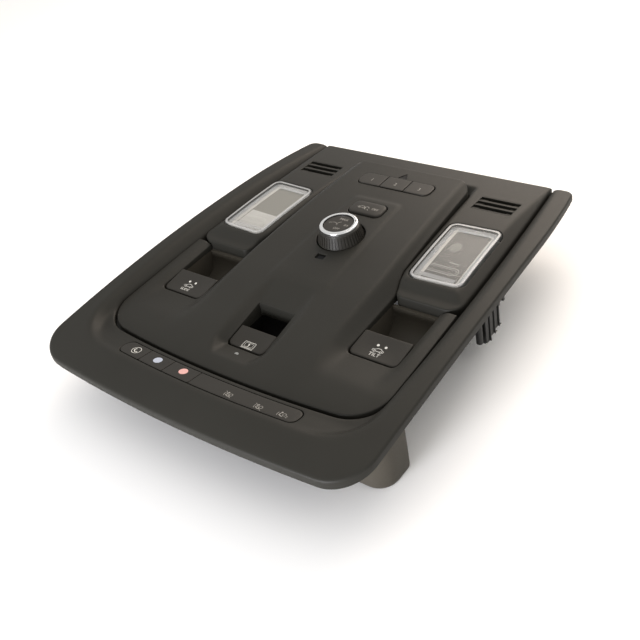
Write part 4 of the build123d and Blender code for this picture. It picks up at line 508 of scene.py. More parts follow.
def centre_field():
    """Centre panel: crown, bevelled flanks, bowls in front of the rockers, pad and sunshade bowl."""
    x, y = np.abs(PLAN_X), PLAN_Y
    profile = (CREASE_HALF, FOOT_HALF, FOOT_Z, BOWL_Z, RAIL_Z, EDGE_Z)
    crease, foot_half, foot, bowl, rail, edge = [np.interp(y, PANEL_PLACES, row) for row in profile]
    top = crown(y)
    flank = top + ramp(x, crease, foot_half) * (foot - top)
    floor = foot + ramp(x, foot_half, WELL_OUTER) * (bowl - foot)
    bank = bowl + ramp(x, WELL_OUTER, RAIL_HALF) * (rail - bowl)
    outer = rail + ramp(x, RAIL_HALF, EDGE_HALF) * (edge - rail)
    z = np.select([x < foot_half, x < WELL_OUTER, x < RAIL_HALF], [flank, floor, bank], outer)
    z = np.minimum(z, top)
    front = ramp(-y, *SOFT_FRONT)
    z = soften(z, 3.0) * front + soften(z, 0.8) * (1 - front)
    half = pad_half(y)
    fall = ramp(half - x, 0.0, PAD_FALL)
    corner = np.hypot(np.maximum(x - half + PAD_R, 0), np.maximum(y - PAD_REAR_Y + PAD_R, 0))
    fall = np.where(y > PAD_REAR_Y - PAD_R, ramp(PAD_R - corner, 0.0, PAD_FALL), fall)
    z = z + KEY_PROUD * soften(fall * ramp(y, *PAD_RISE), 0.5)
    ends = crown(np.array(BOWL_PLACES))
    floor_half = np.interp(y, BOWL_PLACES, BOWL_FLOOR_HALF)
    floor = np.interp(y, BOWL_PLACES, (ends[0] + 0.2, 38.4, 45.0, ends[3] + 0.6))
    wall_half = np.interp(y, BOWL_PLACES, BOWL_WALL_HALF)
    wall = np.interp(y, BOWL_PLACES, (ends[0] + 1.0, ends[1], ends[2], ends[3] + 2.0))
    well = floor + np.maximum(x - floor_half, 0) / (wall_half - floor_half) * (wall - floor)
    well = np.where((y < BOWL_PLACES[0]) | (y > BOWL_PLACES[3]), np.inf, well)
    return soften(np.minimum(z, well), 1.1)


def lamp_field():
    """Lamp panel: crown that rolls over into the noses, bevelled sides, groove round the neck."""
    x, y = np.abs(PLAN_X), PLAN_Y
    z = np.where(y < NOSE_LINE[-1][0], np.interp(y, *zip(*NOSE_LINE)), lamp_crown(y))
    z = np.minimum(z, LAMP_EDGE_Z + (opening_half(y) - SEAM - x) * 0.625)
    side = GROOVE_SIDE_Z + (x - neck_half(y) - SEAM) * 1.1
    rear = GROOVE_REAR_Z + (y - NECK_REAR_Y - SEAM) * 0.762
    return soften(np.minimum(z, np.maximum(side, rear)), 1.2)


def bezel_field():
    """Bezel: crowned rim that rolls over the front edge, sloping sides and sloping dish floor."""
    x, y = np.abs(PLAN_X), PLAN_Y
    roll_y = RIM_CROWN[0][0]
    length = HALF_LENGTH + roll_y
    run = np.maximum(roll_y - y, 0.0)
    rim = arc(*RIM_CROWN, np.maximum(y, roll_y))
    rim = rim - ROLL_SLOPE * run - (ROLL_DROP - ROLL_SLOPE * length) * (run / length) ** 2
    front_r = (OPENING_FRONT_HALF**2 + MOUTH_BOW**2) / (2 * MOUTH_BOW)
    front = front_r - np.sqrt(np.maximum(front_r**2 - x**2, 0.0)) + MOUTH_Y - DISH_WIDTH
    side_in = x - opening_half(np.maximum(y, OPENING_FRONT_Y - DISH_WIDTH)) + OPENING_R
    front_in = front - y + OPENING_R
    corner = np.hypot(side_in, front_in) - OPENING_R
    flat = np.maximum(side_in, front_in) - OPENING_R
    gap = np.where((side_in > 0) & (front_in > 0), corner, flat)
    mouth_y, mouth_z = DISH_LINE[1]
    floor = np.where(y < mouth_y, dish_floor(y), mouth_z)
    inner = np.where(gap > 0, LIP_TOP + gap, np.minimum(floor, LIP_TOP))
    return soften(np.minimum(rim, inner), 2.2)


def tangent_arc(start, end, tangent, count=60):
    """Arc from a point in a direction to another point."""
    start, end, tangent = (np.array(p, float) for p in (start, end, tangent))
    tangent = unit(tangent)
    normal = np.array([-tangent[1], tangent[0]])
    chord = end - start
    radius = (chord @ chord) / (2 * (chord @ normal))
    centre = start + normal * radius
    first = math.atan2(*(start - centre)[::-1])
    last = math.atan2(*(end - centre)[::-1])
    turn = (last - first + math.pi) % math.tau - math.pi
    angles = first + np.linspace(0, turn, count)
    return centre + abs(radius) * np.stack([np.cos(angles), np.sin(angles)], axis=1)


def side_arc(first, middle, last, y0, y1, count=120):
    """Stretch of the upright arc through three plan points, between two places along the length."""
    ys = np.linspace(y0, y1, count)
    swapped = [(p[1], p[0]) for p in (first, middle, last)]
    return np.stack([arc(*swapped, ys), ys], axis=1)


def trimmed(curve, cut, at_end):
    """A curve less a length at one end."""
    points = np.array(curve, float)
    if at_end:
        points = points[::-1]
    steps = np.hypot(*np.diff(points, axis=0).T)
    along = np.concatenate([[0], np.cumsum(steps)])
    start = np.array([np.interp(cut, along, points[:, k]) for k in (0, 1)])
    points = np.vstack([start, points[along > cut + 1e-6]])
    return points[::-1] if at_end else points


def unit(vector):
    """A vector of length one."""
    return vector / np.hypot(*vector)


def joined(curves, radii):
    """Curves end to end, with each corner between them rounded."""
    path = np.array(curves[0], float)
    for curve, radius in zip(curves[1:], radii):
        curve = np.array(curve, float)
        if radius <= 0:
            path = np.vstack([path, curve[1:]])
            continue
        before, after = unit(path[-1] - path[-2]), unit(curve[1] - curve[0])
        turn = math.acos(np.clip(before @ after, -1, 1))
        cut = radius * math.tan(turn / 2)
        path, curve = trimmed(path, cut, True), trimmed(curve, cut, False)
        before, after = unit(path[-1] - path[-2]), unit(curve[1] - curve[0])
        handle = 4 / 3 * math.tan(turn / 4) * radius
        p0, p1, p2, p3 = path[-1], path[-1] + before * handle, curve[0] - after * handle, curve[0]
        t = np.linspace(0, 1, 14)[1:-1, None]
        bend = (1 - t) ** 3 * p0 + 3 * (1 - t) ** 2 * t * p1 + 3 * (1 - t) * t**2 * p2 + t**3 * p3
        path = np.vstack([path, bend, curve])
    return path


def both_halves(path):
    """A right-hand half, closed by its mirror image."""
    left = path[::-1] * [-1, 1]
    return np.vstack([path, left[left[:, 0] < -1e-6]])


def respaced(loop, spacing):
    """Points spread evenly round a closed loop, with its sharp corners kept."""
    steps = np.hypot(*(np.roll(loop, -1, axis=0) - loop).T)
    loop = loop[steps > 1e-6]
    before = loop - np.roll(loop, 1, axis=0)
    after = np.roll(loop, -1, axis=0) - loop
    cross = before[:, 0] * after[:, 1] - before[:, 1] * after[:, 0]
    turn = np.abs(np.arctan2(cross, (before * after).sum(1)))
    corners = np.where(turn > math.radians(25))[0]
    if len(corners) == 0:
        corners = np.array([0])
    result = []
    for a, b in zip(corners, np.roll(corners, -1)):
        around = b if b > a else b + len(loop)
        points = loop[np.arange(a, around + 1) % len(loop)]
        along = np.concatenate([[0], np.cumsum(np.hypot(*np.diff(points, axis=0).T))])
        count = max(int(round(along[-1] / spacing)), 1)
        at = np.linspace(0, along[-1], count + 1)[:-1]
        result.append(np.stack([np.interp(at, along, points[:, k]) for k in (0, 1)], axis=1))
    return np.vstack(result)


def inward(loop, distance):
    """A closed loop moved to its left by a distance, or by one for each point."""
    before = loop - np.roll(loop, 1, axis=0)
    after = np.roll(loop, -1, axis=0) - loop
    before /= np.maximum(np.hypot(*before.T), 1e-9)[:, None]
    after /= np.maximum(np.hypot(*after.T), 1e-9)[:, None]
    normal = np.stack([-before[:, 1], before[:, 0]], axis=1)
    middle = normal + np.stack([-after[:, 1], after[:, 0]], axis=1)
    middle /= np.maximum(np.hypot(*middle.T), 1e-9)[:, None]
    stretch = 1 / np.maximum((middle * normal).sum(1), 0.6)
    return loop + middle * (np.asarray(distance) * stretch)[:, None]


def evenly(loop, count):
    """A given number of points, spread round a closed loop."""
    return loop[np.linspace(0, len(loop), count, endpoint=False).astype(int)]


def is_inside(points, loops):
    """Which points lie inside an outer loop and outside its holes."""
    odd = np.zeros(len(points), bool)
    batch = 20000
    for loop in loops:
        a, b = loop, np.roll(loop, -1, axis=0)
        rise = b[:, 1] - a[:, 1]
        lean = (b[:, 0] - a[:, 0]) / np.where(np.abs(rise) < 1e-12, 1e-12, rise)
        for start in range(0, len(points), batch):
            p = points[start : start + batch]
            crosses = (a[None, :, 1] > p[:, 1, None]) != (b[None, :, 1] > p[:, 1, None])
            meets = a[:, 0] + lean * (p[:, 1, None] - a[None, :, 1])
            odd[start : start + batch] ^= (crosses & (p[:, 0, None] < meets)).sum(1) % 2 == 1
    return odd


def filled(loops, spacing, creases=()):
    """Triangles over the region inside the first loop and outside the others, along its creases.

    The points stand in the rows of an even triangle grid, and keep away from the loops and creases.
    """
    low, high = loops[0].min(0), loops[0].max(0)
    xs = np.arange(low[0], high[0], spacing)
    ys = np.arange(low[1], high[1], spacing * EVEN_ROWS)
    gx, gy = np.meshgrid(xs, ys)
    gx = gx + (np.arange(len(ys)) % 2)[:, None] * spacing / 2
    points = np.stack([gx.ravel(), gy.ravel()], axis=1)
    points = points[is_inside(points, loops)]
    fixed = np.vstack(list(loops) + list(creases))
    near = np.full(len(points), np.inf)
    batch = 100
    for start in range(0, len(fixed), batch):
        gap = ((points[:, None, :] - fixed[None, start : start + batch]) ** 2).sum(2).min(1)
        near = np.minimum(near, gap)
    points = points[near > (spacing * CLEAR_SHARE) ** 2]
    edges, count = [], 0
    for loop in loops:
        n = len(loop)
        edges += [(count + i, count + (i + 1) % n) for i in range(n)]
        count += n
    for crease in creases:
        edges += [(count + i, count + i + 1) for i in range(len(crease) - 1)]
        count += len(crease)
    everything = [Vector(p) for p in np.vstack([fixed, points])]
    verts, _, faces, _, _, _ = geometry.delaunay_2d_cdt(everything, edges, [], 0, 1e-5)
    verts = np.array([tuple(v) for v in verts])
    faces = np.array([tuple(f) for f in faces])
    return verts, faces[is_inside(verts[faces].mean(1), loops)]


def finish_mesh(name, verts, faces, material):
    """A welded, smooth-shaded piece from millimetre points."""
    mesh = bpy.data.meshes.new(name)
    mesh.from_pydata([tuple(v * MM) for v in np.asarray(verts, float)], [], faces)
    built = bmesh.new()
    built.from_mesh(mesh)
    bmesh.ops.remove_doubles(built, verts=built.verts, dist=WELD)
    bmesh.ops.dissolve_degenerate(built, edges=built.edges, dist=SHORTEST_EDGE)
    bmesh.ops.recalc_face_normals(built, faces=built.faces)
    built.to_mesh(mesh)
    built.free()
    mesh.shade_smooth()
    mesh.set_sharp_from_angle(angle=SHARP_ANGLE)
    mesh.materials.append(material)
    piece = bpy.data.objects.new(name, mesh)
    bpy.context.scene.collection.objects.link(piece)
    return piece


def ring_faces(start, count, rings):
    """Faces between closed rings of points that follow each other."""
    faces = []
    for a in range(rings - 1):
        for i in range(count):
            j = (i + 1) % count
            low, high = start + a * count, start + (a + 1) * count
            faces.append((low + i, low + j, high + j, high + i))
    return faces


def prism(loop, base, top, edge=0.4):
    """Closed upright prism with a rounded top edge."""
    steps = ((edge, base), (0.0, base + edge), (0.0, top - edge), (edge * 0.3, top - edge * 0.3), (edge, top))
    rings = []
    for offset, z in steps:
        moved = inward(loop, np.full(len(loop), offset))
        rings.append(np.column_stack([moved, np.broadcast_to(z, len(loop))]))
    count = len(loop)
    faces = ring_faces(0, count, len(rings))
    faces += [tuple(range(count))[::-1], tuple(range(4 * count, 5 * count))]
    return np.vstack(rings), faces


def merged(parts):
    """Several meshes as one list of points and faces."""
    verts, faces, start = [], [], 0
    for points, polygons in parts:
        verts.append(np.asarray(points, float))
        faces += [tuple(int(i) + start for i in polygon) for polygon in polygons]
        start += len(points)
    return np.vstack(verts), faces


def add_piece(name, parts, material, body, node=None):
    """A piece from several meshes, riding on a body, in place of a solid if one is named."""
    piece = finish_mesh(name, *merged(parts), material)
    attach(piece, body)
    if node:
        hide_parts(node)


def shell(outer, holes, height, spacing, edge_r, hole_r, skirt, skin=PANEL_SKIN, creases=()):
    """Moulded panel: soft top, rounded edges, rings of wall round its outline, and an underside."""
    verts, faces = [], []
    tops, lows = [], []
    start = 0

    def rounded(loop, sign, radius):
        rings = []
        for angle in np.linspace(0, math.pi / 2, 5):
            moved = inward(loop, np.full(len(loop), sign * radius * (1 - math.sin(angle))))
            rings.append(np.column_stack([moved, height(moved) - radius * (1 - math.cos(angle))]))
        return rings

    def add_rings(rings):
        nonlocal start
        verts.append(np.vstack(rings))
        faces.extend(ring_faces(start, len(rings[0]), len(rings)))
        start += sum(len(ring) for ring in rings)
        tops.append(rings[0][:, :2])
        lows.append(rings[-1][:, :2])

    rings = rounded(outer, 1, edge_r)
    for moved, z in skirt(outer):
        level = height(moved) - skin if z is None else np.broadcast_to(z, len(moved))
        rings.append(np.column_stack([moved, level]))
    add_rings(rings)
    for hole in holes:
        rings = rounded(hole, -1, hole_r)
        rings.append(np.column_stack([hole, height(hole) - skin]))
        add_rings(rings)
    for loops, gap, down, lines in ((tops, spacing, 0.0, creases), (lows, spacing * 2.5, skin, ())):
        points, triangles = filled(loops, gap, lines)
        verts.append(np.column_stack([points, height(points) - down]))
        faces.extend((triangles + start).tolist())
        start += len(points)
    return np.vstack(verts), faces


def skirt_to(base, wall):
    """Rings of a plain wall down to a level, and up again inside."""

    def rings(outer):
        level = base(outer) if callable(base) else base
        inside = inward(outer, np.full(len(outer), wall))
        return [(outer, level), (inside, level), (inside, None)]

    return rings


def rounded_rectangle(x0, x1, y0, y1, radius, spacing=0.8, turn=0.0):
    """Closed loop round a rectangle whose corners have one radius, or four from the front left round."""
    radii = radius if isinstance(radius, tuple) else (radius,) * 4
    corners = ((x0, y0), (x1, y0), (x1, y1), (x0, y1))
    signs = ((1, 1), (-1, 1), (-1, -1), (1, -1))
    points = []
    for place, ((x, y), (sx, sy), r) in enumerate(zip(corners, signs, radii)):
        first = math.pi + place * math.pi / 2
        for angle in np.linspace(first, first + math.pi / 2, 9 if r > 0 else 1):
            points.append((x + sx * r + r * math.cos(angle), y + sy * r + r * math.sin(angle)))
    loop = respaced(np.array(points), spacing)
    if turn:
        middle = np.array([(x0 + x1) / 2, (y0 + y1) / 2])
        spin = np.array([[math.cos(turn), math.sin(turn)], [-math.sin(turn), math.cos(turn)]])
        loop = (loop - middle) @ spin + middle
    return loop


def middle_box(half, front_y, rear_y, radius, grow=0.0, spacing=0.8):
    """Closed loop round a rectangle on the middle line, grown by a gap."""
    return rounded_rectangle(-half - grow, half + grow, front_y - grow, rear_y + grow, radius, spacing)


def circle(x, y, radius, count=72):
    """Closed loop round a circle."""
    angles = np.arange(count) / count * math.tau
    return np.stack([x + radius * np.cos(angles), y + radius * np.sin(angles)], axis=1)


def sensor_loops():
    """Openings of the sensor window and the triangular window."""
    square = middle_box(SENSOR_HALF, SENSOR_Y - SENSOR_RUN, SENSOR_Y + SENSOR_RUN, 0.3)
    height = ARROW_SIDE * math.sqrt(3) / 2
    base_y = ARROW_Y - height / 3
    triangle = np.array([(-ARROW_SIDE / 2, base_y), (ARROW_SIDE / 2, base_y), (0, base_y + height)])
    return [square, respaced(triangle, 0.8)]


def lens_loop(side, grow):
    """Plan of one lens, grown by a distance."""
    half_x, half_y = LENS_WIDTH / 2 + grow, LENS_LENGTH / 2 + grow
    x = side * LENS_X
    box = (x - half_x, x + half_x, LENS_Y - half_y, LENS_Y + half_y)
    return rounded_rectangle(*box, LENS_R + grow, 1.0, side * LENS_TURN)


def bezel_piece():
    """Bezel frame: one U-shaped moulding with its lip, dish, key slot, ledge and clip towers."""
    front = tangent_arc((0, -HALF_LENGTH), RIM_PLAN[0], (1, 0), 120)
    side = side_arc(*RIM_PLAN, RIM_PLAN[0][1], RIM_PLAN[-1][1])
    tail = tangent_arc(side[-1], (RIM_REAR_HALF, HALF_LENGTH), side[-1] - side[-2])
    plan = [(x, y) for y, x in OPENING_PLAN]
    rear = np.array([(RIM_REAR_HALF, HALF_LENGTH), plan[-1]])
    inner = side_arc(*plan, HALF_LENGTH, OPENING_FRONT_Y)
    mouth = tangent_arc((0, MOUTH_Y), plan[0], (1, 0), 120)[::-1]
    half = joined([front, side, tail, rear, inner, mouth], [RIM_CORNER_R, 0, RIM_REAR_R, 0, OPENING_R])
    outer = respaced(both_halves(half), 1.3)
    dish = sampler(bezel_field())
    reach = np.abs(outer[:, 0]) - opening_half(np.clip(outer[:, 1], OPENING_FRONT_Y, HALF_LENGTH))
    in_mouth = (reach < 0.6) & (outer[:, 1] > MOUTH_Y - 13.0)
    inside = in_mouth & (outer[:, 1] < HALF_LENGTH - 0.1)

    def skirt(loop):
        """Rings of step and height: down the outside of the rim, and round the ledge under the opening."""
        top = dish(loop)
        steps = (
            (0.0, top - 4.5, 0.0, LEDGE_TOP),
            (1.2, top - 4.7, -6.0, LEDGE_TOP),
            (1.2, top - 7.5, -6.0, LEDGE_BASE),
            (2.5, top - 7.5, 2.5, LEDGE_BASE),
            (2.5, None, 2.5, None),
        )
        rings = []
        for out_step, out_z, in_step, in_z in steps:
            moved = inward(loop, np.where(inside, in_step, out_step))
            moved[:, 1] = np.clip(moved[:, 1], -HALF_LENGTH, HALF_LENGTH)
            rings.append((moved, None if out_z is None else np.where(inside, in_z, out_z)))
        return rings

    ahead, behind = np.linspace(0, ROW_HALF, 40), np.linspace(ROW_HALF, 0, 40)
    half_slot = [
        row_line(ROW_FRONT_Y, ahead),
        np.array([(ROW_HALF, ROW_FRONT_Y + ROW_BOW), (ROW_HALF, ROW_REAR_Y + ROW_BOW)]),
        row_line(ROW_REAR_Y, behind),
    ]
    slot = respaced(both_halves(joined(half_slot, [ROW_R, ROW_R])), 1.0)
    parts = [shell(outer, [slot], dish, 1.3, 1.5, 0.5, skirt)]
    bar = middle_box(REAR_BAR_HALF, HALF_LENGTH - REAR_BAR_WIDTH, HALF_LENGTH - 0.2, 0.0, spacing=4.0)
    parts.append(prism(bar, LEDGE_BASE, LEDGE_TOP))
    for _, sign in SIDES:
        x = sign * REAR_TOWER_X
        tower = rounded_rectangle(x - REAR_TOWER_HALF, x + REAR_TOWER_HALF, *REAR_TOWER_YS, 1.5)
        parts.append(prism(tower, REAR_TOWER_BASE, LEDGE_BASE + 0.5))
        parts.append(prism(circle(sign * DISH_POST_X, DISH_POST_Y, DISH_POST_R, 32), *DISH_POST_ZS))
    add_piece("bezel_moulding", parts, FACE, "console", "bezel_frame")


def row_line(middle_y, xs):
    """Bowed line across the front row."""
    radius = (ROW_HALF**2 + ROW_BOW**2) / (2 * ROW_BOW)
    return np.stack([xs, middle_y + radius - np.sqrt(radius**2 - xs**2)], axis=1)


def centre_piece():
    """Centre panel: one moulding with its neck, bowls, pad and openings."""
    corner = (opening_half(CENTRE_CORNER_Y) - SEAM, CENTRE_CORNER_Y)
    front = tangent_arc((0, CENTRE_FRONT_Y), corner, (1, 0), 100)
    ys = np.linspace(CENTRE_CORNER_Y, PANEL_BACK_Y, 80)
    side = np.stack([opening_half(ys) - SEAM, ys], axis=1)
    back = np.array([side[-1], (WELL_OUTER, PANEL_BACK_Y)])
    outer_wall = np.array([(WELL_OUTER, PANEL_BACK_Y), (WELL_OUTER, WELL_FRONT_Y)])
    front_wall = np.array([(WELL_OUTER, WELL_FRONT_Y), (WELL_INNER, WELL_FRONT_Y)])
    neck = np.array([(WELL_INNER, WELL_FRONT_Y)] + [(x, y) for y, x in NECK_PLAN])
    rear = np.array([neck[-1], (0, NECK_REAR_Y)])
    radii = [OPENING_R, 0, 0, WELL_R, WELL_R, NECK_R]
    half = joined([front, side, back, outer_wall, front_wall, neck, rear], radii)
    outer = respaced(both_halves(half), 1.2)
    holes = [
        middle_box(SHADE_HALF, SHADE_FRONT_Y, SHADE_BACK_Y, SHADE_RADII),
        middle_box(STRIP_HALF, STRIP_FRONT_Y, STRIP_REAR_Y, STRIP_R, KEY_GAP),
        middle_box(OVERRIDE_HALF, OVERRIDE_FRONT_Y, OVERRIDE_REAR_Y, OVERRIDE_R, KEY_GAP),
        circle(0, KNOB_Y, KNOB_HOLE_R, 90),
        *sensor_loops(),
    ]
    creases = []
    for _, sign in SIDES:
        creases.append(np.array([(sign * pad_half(y), y) for y in np.arange(-14.0, 73.0, 1.0)]))
        bevel = [(sign * np.interp(max(y, 0), PANEL_PLACES, CREASE_HALF), y) for y in range(-30, 110)]
        creases.append(np.array(bevel))

    def base(loop):
        x, y = np.abs(loop[:, 0]), loop[:, 1]
        by_well = (x > WELL_INNER - 4.4) & (x < WELL_OUTER + 3.8) & (y > WELL_FRONT_Y - 4.1) & (y < 3.0)
        return np.where(by_well, WELL_TOP, LEDGE_TOP)

    height = sampler(centre_field())
    parts = [shell(outer, holes, height, 1.15, 0.7, 0.35, skirt_to(base, PANEL_WALL), creases=creases)]
    collar = middle_box(SHADE_HALF, SHADE_FRONT_Y, SHADE_BACK_Y, 0.5, COLLAR_WALL, 3.0)
    inner = middle_box(SHADE_HALF, SHADE_FRONT_Y, SHADE_BACK_Y, 0.5, COLLAR_GAP, 3.0)
    parts.append(tube(collar, inner, COLLAR_BASE, height))
    add_piece("centre_moulding", parts, FACE, "console", "centre_panel")


def tube(outer, inner, base, height):
    """Closed wall between two loops, from a level up into a panel."""
    inner = evenly(inner, len(outer))
    rings = []
    for loop, at_top in ((inner, True), (inner, False), (outer, False), (outer, True), (inner, True)):
        z = height(loop) - 1.2 if at_top else np.full(len(loop), base)
        rings.append(np.column_stack([loop, z]))
    return np.vstack(rings), ring_faces(0, len(outer), len(rings))


def grille_span(sign, width):
    """Both ends of a grille's width on one side."""
    return sign * GRILLE_X - width / 2, sign * GRILLE_X + width / 2


def grille_row(row):
    """One blade from its front edge, past the front of its slot, to its rear edge: places and heights."""
    rear_y = GRILLE_REAR_Y - row * GRILLE_PITCH
    ys = (rear_y - GRILLE_PITCH + GRILLE_BAR, rear_y - GRILLE_SLOT, rear_y)
    ends = (lamp_crown(ys[0]), lamp_crown(rear_y) - GRILLE_DEPTH)
    return ys, np.interp(ys, (ys[0], rear_y), ends)


def louvres(sign):
    """Microphone louvres of one side: sloping blades with a slot in each, and upright risers."""
    parts = []
    x0, x1 = grille_span(sign, GRILLE_POCKET)
    slot_x0, slot_x1 = grille_span(sign, GRILLE_WIDTH)
    for row in range(GRILLE_COUNT):
        (front_y, low_y, rear_y), (front_z, low_z, rear_z) = grille_row(row)
        parts.append(slab(x0, x1, front_y, low_y, front_z, low_z, BLADE_THICK))
        parts.append(slab(x0, slot_x0, low_y, rear_y, low_z, rear_z, BLADE_THICK))
        parts.append(slab(slot_x1, x1, low_y, rear_y, low_z, rear_z, BLADE_THICK))
        bar_y = rear_y + GRILLE_BAR
        parts.append(slab(x0, x1, rear_y, bar_y, lamp_crown(rear_y), lamp_crown(bar_y), RISER_DEPTH))
    return parts


def slab(x0, x1, y0, y1, z0, z1, thick):
    """Closed four-sided slab below a face that slopes from front to rear."""
    face = ((x0, y0, z0), (x1, y0, z0), (x1, y1, z1), (x0, y1, z1))
    verts = [(x, y, z - down) for down in (0.0, thick) for x, y, z in face]
    faces = [(0, 1, 2, 3), (7, 6, 5, 4)] + [(i, i + 4, (i + 1) % 4 + 4, (i + 1) % 4) for i in range(4)]
    return np.array(verts), faces


def lamp_panel_piece():
    """Lamp panel: one U-shaped moulding with noses, lens openings and louvres."""
    inner = [(x + SEAM, y) for y, x in NECK_PLAN]
    inner[-1] = (inner[-1][0], NECK_REAR_Y + SEAM)
    rear_in = np.array([(0, NECK_REAR_Y + SEAM), inner[-1]])
    neck = np.array(inner[::-1] + [(inner[0][0], NOSE_Y)])
    nose = np.array([neck[-1], (opening_half(NOSE_Y) - SEAM, NOSE_Y)])
    ys = np.linspace(NOSE_Y, HALF_LENGTH, 120)
    side = np.stack([opening_half(ys) - SEAM, ys], axis=1)
    rear = np.array([side[-1], (0, HALF_LENGTH)])
    half = joined([rear_in, neck, nose, side, rear], [NECK_R, WELL_R, NOSE_R, 0])
    outer = respaced(both_halves(half), 1.2)
    pocket_front = GRILLE_REAR_Y - GRILLE_COUNT * GRILLE_PITCH + GRILLE_BAR
    holes, blades = [], []
    for _, sign in SIDES:
        holes.append(lens_loop(sign, 0.5))
        pocket = (*grille_span(sign, GRILLE_POCKET), pocket_front, GRILLE_REAR_Y + GRILLE_BAR)
        holes.append(rounded_rectangle(*pocket, 0.0, 1.0))
        blades += louvres(sign)
    height = sampler(lamp_field())
    panel = shell(outer, holes, height, 1.15, 1.1, 0.3, skirt_to(LEDGE_TOP, PANEL_WALL))
    add_piece("lamp_panel_moulding", [panel] + blades, FACE, "console", "lamp_panel")


def key(name, loop, height, edge, base, body, node, spacing=1.2):
    """Moulded key: soft top, rounded edge and skirt, in place of a solid key."""
    mesh = shell(loop, [], height, spacing, edge, 0.0, skirt_to(base, KEY_WALL), skin=KEY_SKIN)
    add_piece(name, [mesh], KEY, body, node)


def neck_keys():
    """Three transmitter keys, from one rounded strip, and the override key."""

    def strip_top(points):
        return crown(points[:, 1]) + KEY_PROUD

    def override_top(points):
        x, y = points[:, 0] / OVERRIDE_HALF, points[:, 1] - (OVERRIDE_FRONT_Y + OVERRIDE_REAR_Y) / 2
        side_fall, end_fall = OVERRIDE_FALL
        return crown(points[:, 1]) + OVERRIDE_PROUD - side_fall * x**4 - end_fall * (y / OVERRIDE_RUN) ** 4

    pitch = 2 * STRIP_HALF / 3
    for place in range(3):
        x0 = -STRIP_HALF + place * pitch + (KEY_GAP / 2 if place > 0 else 0)
        x1 = -STRIP_HALF + (place + 1) * pitch - (KEY_GAP / 2 if place < 2 else 0)
        left_r = STRIP_R if place == 0 else SQUARE_R
        right_r = STRIP_R if place == 2 else SQUARE_R
        loop = rounded_rectangle(x0, x1, STRIP_FRONT_Y, STRIP_REAR_Y, (left_r, right_r, right_r, left_r))
        name = f"transmitter_button_{place + 1}"
        key(f"transmitter_key_{place + 1}", loop, strip_top, 0.45, KEY_BASE, f"button_{place + 1}", name)
    loop = middle_box(OVERRIDE_HALF, OVERRIDE_FRONT_Y, OVERRIDE_REAR_Y, OVERRIDE_R)
    key("override_key", loop, override_top, 1.1, KEY_BASE, "override", "tailgate_override_button")
    return strip_top, override_top


def row_keys():
    """Three keys and the indicator panel of the bowed front row."""

    def top(points):
        return dish_floor(points[:, 1]) + ROW_PROUD

    edges = (-ROW_HALF + ROW_GAP,) + ROW_SPLITS + (ROW_HALF - ROW_GAP,)
    names = (
        ("call_key", "call", "call_button"),
        ("blue_dot_key", "blue_dot", "blue_dot_button"),
        ("red_dot_key", "red_dot", "red_dot_button"),
        ("indicator_cover", "console", "indicator_panel"),
    )
    for place, (name, body, node) in enumerate(names):
        x0 = edges[place] + (ROW_GAP / 2 if place > 0 else 0)
        x1 = edges[place + 1] - (ROW_GAP / 2 if place < 3 else 0)
        middle = (x0 + x1) / 2
        front = row_line(ROW_FRONT_Y + ROW_GAP, np.linspace(middle, x1, 30))
        rear = row_line(ROW_REAR_Y - ROW_GAP, np.linspace(x1, x0, 60))
        back_again = row_line(ROW_FRONT_Y + ROW_GAP, np.linspace(x0, middle, 30))
        right = np.array([front[-1], rear[0]])
        left = np.array([rear[-1], back_again[0]])
        left_r = ROW_R if place == 0 else SQUARE_R
        right_r = ROW_R if place == 3 else SQUARE_R
        path = joined([front, right, rear, left, back_again], [right_r, right_r, left_r, left_r])
        key(name, respaced(path[:-1], 0.9), top, 0.4, ROW_BASE, body, node)
    return top


def rocker_piece(name, body, node, x0, x1, front, rear):
    """Rocker: hollowed top plate with rounded front corners, and its skirt."""
    (y0, z0), (y1, z1) = front, rear
    middle = (x0 + x1) / 2

    def top(points):
        x = (points[:, 0] - middle) / ((x1 - x0) / 2)
        along = (points[:, 1] - y0) / (y1 - y0)
        hollow = ROCKER_HOLLOW * (1 - x**2) * np.sin(np.clip(along, 0, 1) * math.pi)
        return z0 + (z1 - z0) * along - hollow

    loop = rounded_rectangle(x0, x1, y0, y1, ROCKER_RADII, 1.0)
    key(name, loop, top, 0.8, min(z0, z1) - ROCKER_SKIRT, body, node, spacing=1.0)
    return top


def rockers():
    """The two sunroof rockers and the sunshade rocker."""
    tops = {}
    for name, sign in SIDES:
        x0, x1 = sorted((sign * (WELL_INNER + KEY_GAP), sign * (WELL_OUTER - KEY_GAP)))
        names = (f"{name}_sunroof_key", f"{name}_sunroof", f"{name}_rocker")
        tops[name] = rocker_piece(*names, x0, x1, *SUNROOF_LINE)
    half = SHADE_HALF - KEY_GAP
    tops["sunshade"] = rocker_piece("sunshade_key", "sunshade", "sunshade_rocker", -half, half, *SHADE_LINE)
    return tops


def prism_ring(outer, width, pitch, height, depth):
    """Ring of moulded prisms: ridges across the rim of a lens, half a pitch wide."""
    loop = respaced(outer, pitch / 2)
    loop = loop[: len(loop) // 2 * 2]
    ridge = np.where(np.arange(len(loop)) % 2 == 0, 0.0, depth)
    rings = []
    for offset, rise in ((0.0, 0.0), (0.25, 1.0), (width - 0.25, 1.0), (width, 0.0)):
        moved = inward(loop, np.full(len(loop), offset))
        rings.append(np.column_stack([moved, height(moved) - depth + ridge * rise]))
    return np.vstack(rings), ring_faces(0, len(loop), len(rings))


